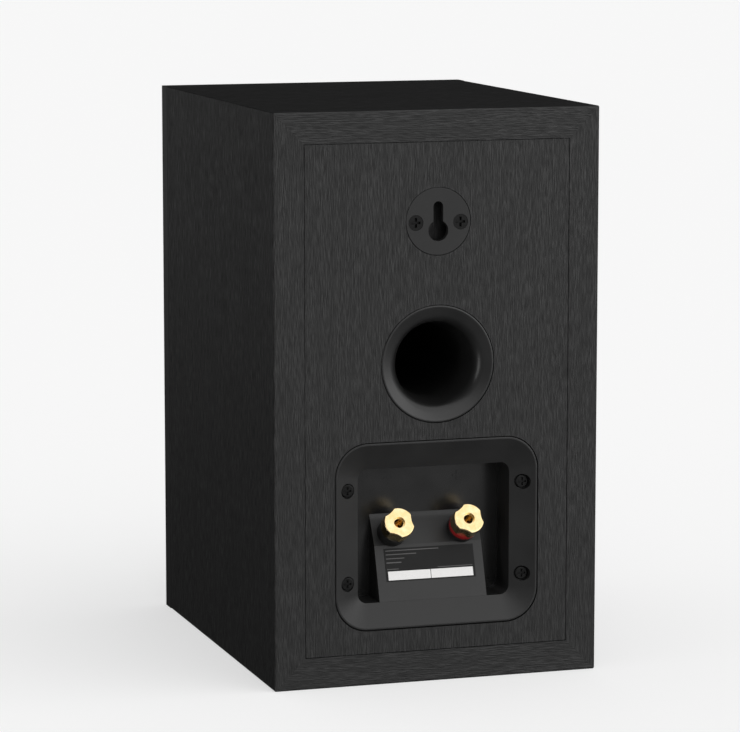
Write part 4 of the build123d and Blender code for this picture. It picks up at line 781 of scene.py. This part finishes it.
def plate(work, frame_of_face, left, right, low, high, thick, corner=0.12):
    """A thin rounded plate on a face. All in millimetres from the face's centre."""
    centre, across, up, normal = frame_of_face
    lift = 0.004
    widest = 1 / 2.01  # just under half a side, so that two corners never meet
    corner = min(corner, (right - left) * widest, (high - low) * widest)
    rim = []
    for x, z, start in (
        (right - corner, high - corner, 0),
        (left + corner, high - corner, 90),
        (left + corner, low + corner, 180),
        (right - corner, low + corner, 270),
    ):
        rim += arc((x, z), corner, start, start + 90, 4)
    base, crown = [], []
    for x, z in rim:
        place = centre + (across * x + up * z) * MM
        base.append(work.verts.new(place + normal * lift * MM))
        crown.append(work.verts.new(place + normal * thick * MM))
    work.faces.new(crown)
    work.faces.new(list(reversed(base)))
    for i in range(len(rim)):
        j = (i + 1) % len(rim)
        work.faces.new((base[i], base[j], crown[j], crown[i]))


LABEL_FACE = face_frame("terminal_label", Vector((0, 1, 0)))
FINISHES["label_field"] = printed("label_field", 0.60, 0.75)
FINISHES["label_bar"] = printed("label_bar", 0.060, 0.095)


def make_label_fields(work):
    """Two blank white fields side by side, as (left, right)."""
    for left, right in ((-18.6, -0.15), (0.10, 18.5)):
        plate(work, LABEL_FACE, left, right, low=-6.4, high=-2.7, thick=0.03)


def make_label_bars(work):
    """Plain bars where a label has its print, as (left, right, low, high)."""
    rows = [
        (-18.9, 4.3, 5.75, 6.1),
        (-18.9, -5.6, 4.15, 4.5),
        (-18.9, -10.9, 2.45, 2.8),
        (-18.9, -12.4, 0.70, 1.15),
        (-18.9, -13.8, -1.95, -1.65),
        (3.2, 18.5, -2.10, -1.80),
    ]
    for left, right, low, high in rows:
        plate(work, LABEL_FACE, left, right, low, high, thick=0.02, corner=0.08)


fields = new_piece("label_blank_fields", make_label_fields, "label_stock", finish="label_field")
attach(fields, "cabinet")
bars = new_piece("label_plain_bars", make_label_bars, "label_stock", finish="label_bar")
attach(bars, "cabinet")


# ================================================================ stage, lights and camera
BACKDROP = 0.915
FLOOR_GLOW = 0.50
FLOOR_SHADE = 0.475
FLOOR_REACH = 9.0
FLOOR_DROP = 0.05 * MM
AMBIENT = 0.62
REFLECTED_FRONT = 0.015
REFLECTED_REAR = 0.30
BRIGHT_SIDE = (-0.55, 0.80, 0.25)
BRIGHT_SPAN = (-0.2, 0.9)
LIT_POINT = Vector((0, 0, 0.12))


def make_floor():
    """A pale floor that glows a little, just below the object and out of its reflections."""
    mesh = bpy.data.meshes.new("floor")
    corners = [(-1, -1), (1, -1), (1, 1), (-1, 1)]
    places = [(x * FLOOR_REACH, y * FLOOR_REACH, -FLOOR_DROP) for x, y in corners]
    mesh.from_pydata(places, [], [(0, 1, 2, 3)])
    floor = bpy.data.objects.new("floor", mesh)
    bpy.context.scene.collection.objects.link(floor)
    material = bpy.data.materials.new("pale_floor")
    material.use_nodes = True
    tree = material.node_tree
    tree.nodes.remove(tree.nodes["Principled BSDF"])
    glow = tree.nodes.new("ShaderNodeEmission")
    glow.inputs["Color"].default_value = (1, 1, 1, 1)
    glow.inputs["Strength"].default_value = FLOOR_GLOW
    matt = tree.nodes.new("ShaderNodeBsdfDiffuse")
    matt.inputs["Color"].default_value = (*grey(FLOOR_SHADE), 1)
    both = tree.nodes.new("ShaderNodeAddShader")
    tree.links.new(glow.outputs[0], both.inputs[0])
    tree.links.new(matt.outputs[0], both.inputs[1])
    tree.links.new(both.outputs[0], tree.nodes["Material Output"].inputs["Surface"])
    mesh.materials.append(material)
    floor.visible_glossy = False
    return floor


def make_world():
    """White to the camera, even ambient light, and a room that reflects dim in front, pale behind."""
    world = bpy.data.worlds.new("studio")
    bpy.context.scene.world = world
    world.use_nodes = True
    tree = world.node_tree
    tree.nodes.clear()
    path = tree.nodes.new("ShaderNodeLightPath")

    def background(strength):
        node = tree.nodes.new("ShaderNodeBackground")
        node.inputs["Color"].default_value = (1, 1, 1, 1)
        if isinstance(strength, float):
            node.inputs["Strength"].default_value = strength
        else:
            tree.links.new(strength, node.inputs["Strength"])
        return node.outputs[0]

    def choose(ray, otherwise, chosen):
        node = tree.nodes.new("ShaderNodeMixShader")
        tree.links.new(path.outputs[ray], node.inputs[0])
        tree.links.new(otherwise, node.inputs[1])
        tree.links.new(chosen, node.inputs[2])
        return node.outputs[0]

    direction = tree.nodes.new("ShaderNodeVectorMath")
    direction.operation = "DOT_PRODUCT"
    coordinates = tree.nodes.new("ShaderNodeTexCoord")
    tree.links.new(coordinates.outputs["Generated"], direction.inputs[0])
    direction.inputs[1].default_value = BRIGHT_SIDE
    room = tree.nodes.new("ShaderNodeMapRange")
    tree.links.new(direction.outputs["Value"], room.inputs["Value"])
    limits = {
        "From Min": BRIGHT_SPAN[0],
        "From Max": BRIGHT_SPAN[1],
        "To Min": REFLECTED_FRONT,
        "To Max": REFLECTED_REAR,
    }
    for socket, number in limits.items():
        room.inputs[socket].default_value = number
    lit = choose("Is Glossy Ray", background(AMBIENT), background(room.outputs["Result"]))
    seen = choose("Is Camera Ray", lit, background(BACKDROP))
    output = tree.nodes.new("ShaderNodeOutputWorld")
    tree.links.new(seen, output.inputs["Surface"])


def soft_box(name, direction, distance, width, height, radiance):
    """A rectangular lamp that faces the object and leaves the floor out."""
    data = bpy.data.lights.new(name, "AREA")
    data.shape = "RECTANGLE"
    data.size = width
    data.size_y = height
    data.energy = math.pi * width * height * radiance
    lamp = bpy.data.objects.new(name, data)
    bpy.context.scene.collection.objects.link(lamp)
    toward = Vector(direction).normalized()
    lamp.location = LIT_POINT + toward * distance
    lamp.rotation_mode = "QUATERNION"
    lamp.rotation_quaternion = (-toward).to_track_quat("-Z", "Y")
    lamp.visible_camera = False
    lamp.light_linking.receiver_collection = FLOOR_GROUP
    lamp.light_linking.blocker_collection = FLOOR_GROUP


def soft_sky(name, direction, strength, spread_deg):
    """A very broad distant lamp, which lights the floor evenly."""
    data = bpy.data.lights.new(name, "SUN")
    data.energy = strength
    data.angle = math.radians(spread_deg)
    lamp = bpy.data.objects.new(name, data)
    bpy.context.scene.collection.objects.link(lamp)
    lamp.rotation_mode = "QUATERNION"
    lamp.rotation_quaternion = (-Vector(direction)).to_track_quat("-Z", "Y")


FLOOR_GROUP = bpy.data.collections.new("floor_only")
FLOOR_GROUP.objects.link(make_floor())
make_world()
soft_sky("sky", direction=(-0.42, 0.62, 0.60), strength=1.45, spread_deg=90)
for name, direction, distance, width, height, radiance in (
    ("key_rear_right", (-0.64, 0.76, 0.13), 1.7, 1.3, 0.9, 1.10),
    ("strip_rear_left", (0.88, 0.47, 0.02), 1.6, 0.35, 0.9, 3.5),
    ("front_side", (0.55, -0.82, 0.12), 1.9, 1.2, 0.9, 0.34),
    ("bounce_front", (-0.42, -0.88, -0.22), 1.8, 1.3, 0.7, 0.90),
):
    soft_box(name, direction, distance, width, height, radiance)
FLOOR_GROUP.collection_objects[0].light_linking.link_state = "EXCLUDE"

CAMERA_PLACE = (0.45772, 1.43435, 0.33816)
LENS_MM = 170.41
YAW = math.radians(17.68)
PITCH = math.radians(8.27)
camera_data = bpy.data.cameras.new("camera")
camera_data.sensor_width = 36.0
camera_data.lens = LENS_MM
camera_data.clip_end = 30.0
camera = bpy.data.objects.new("camera", camera_data)
bpy.context.scene.collection.objects.link(camera)
camera.location = CAMERA_PLACE
level = math.cos(PITCH)
looking = Vector((-math.sin(YAW) * level, -math.cos(YAW) * level, -math.sin(PITCH)))
camera.rotation_mode = "QUATERNION"
camera.rotation_quaternion = looking.to_track_quat("-Z", "Y")
bpy.context.scene.camera = camera
bpy.context.scene.view_settings.view_transform = "Standard"
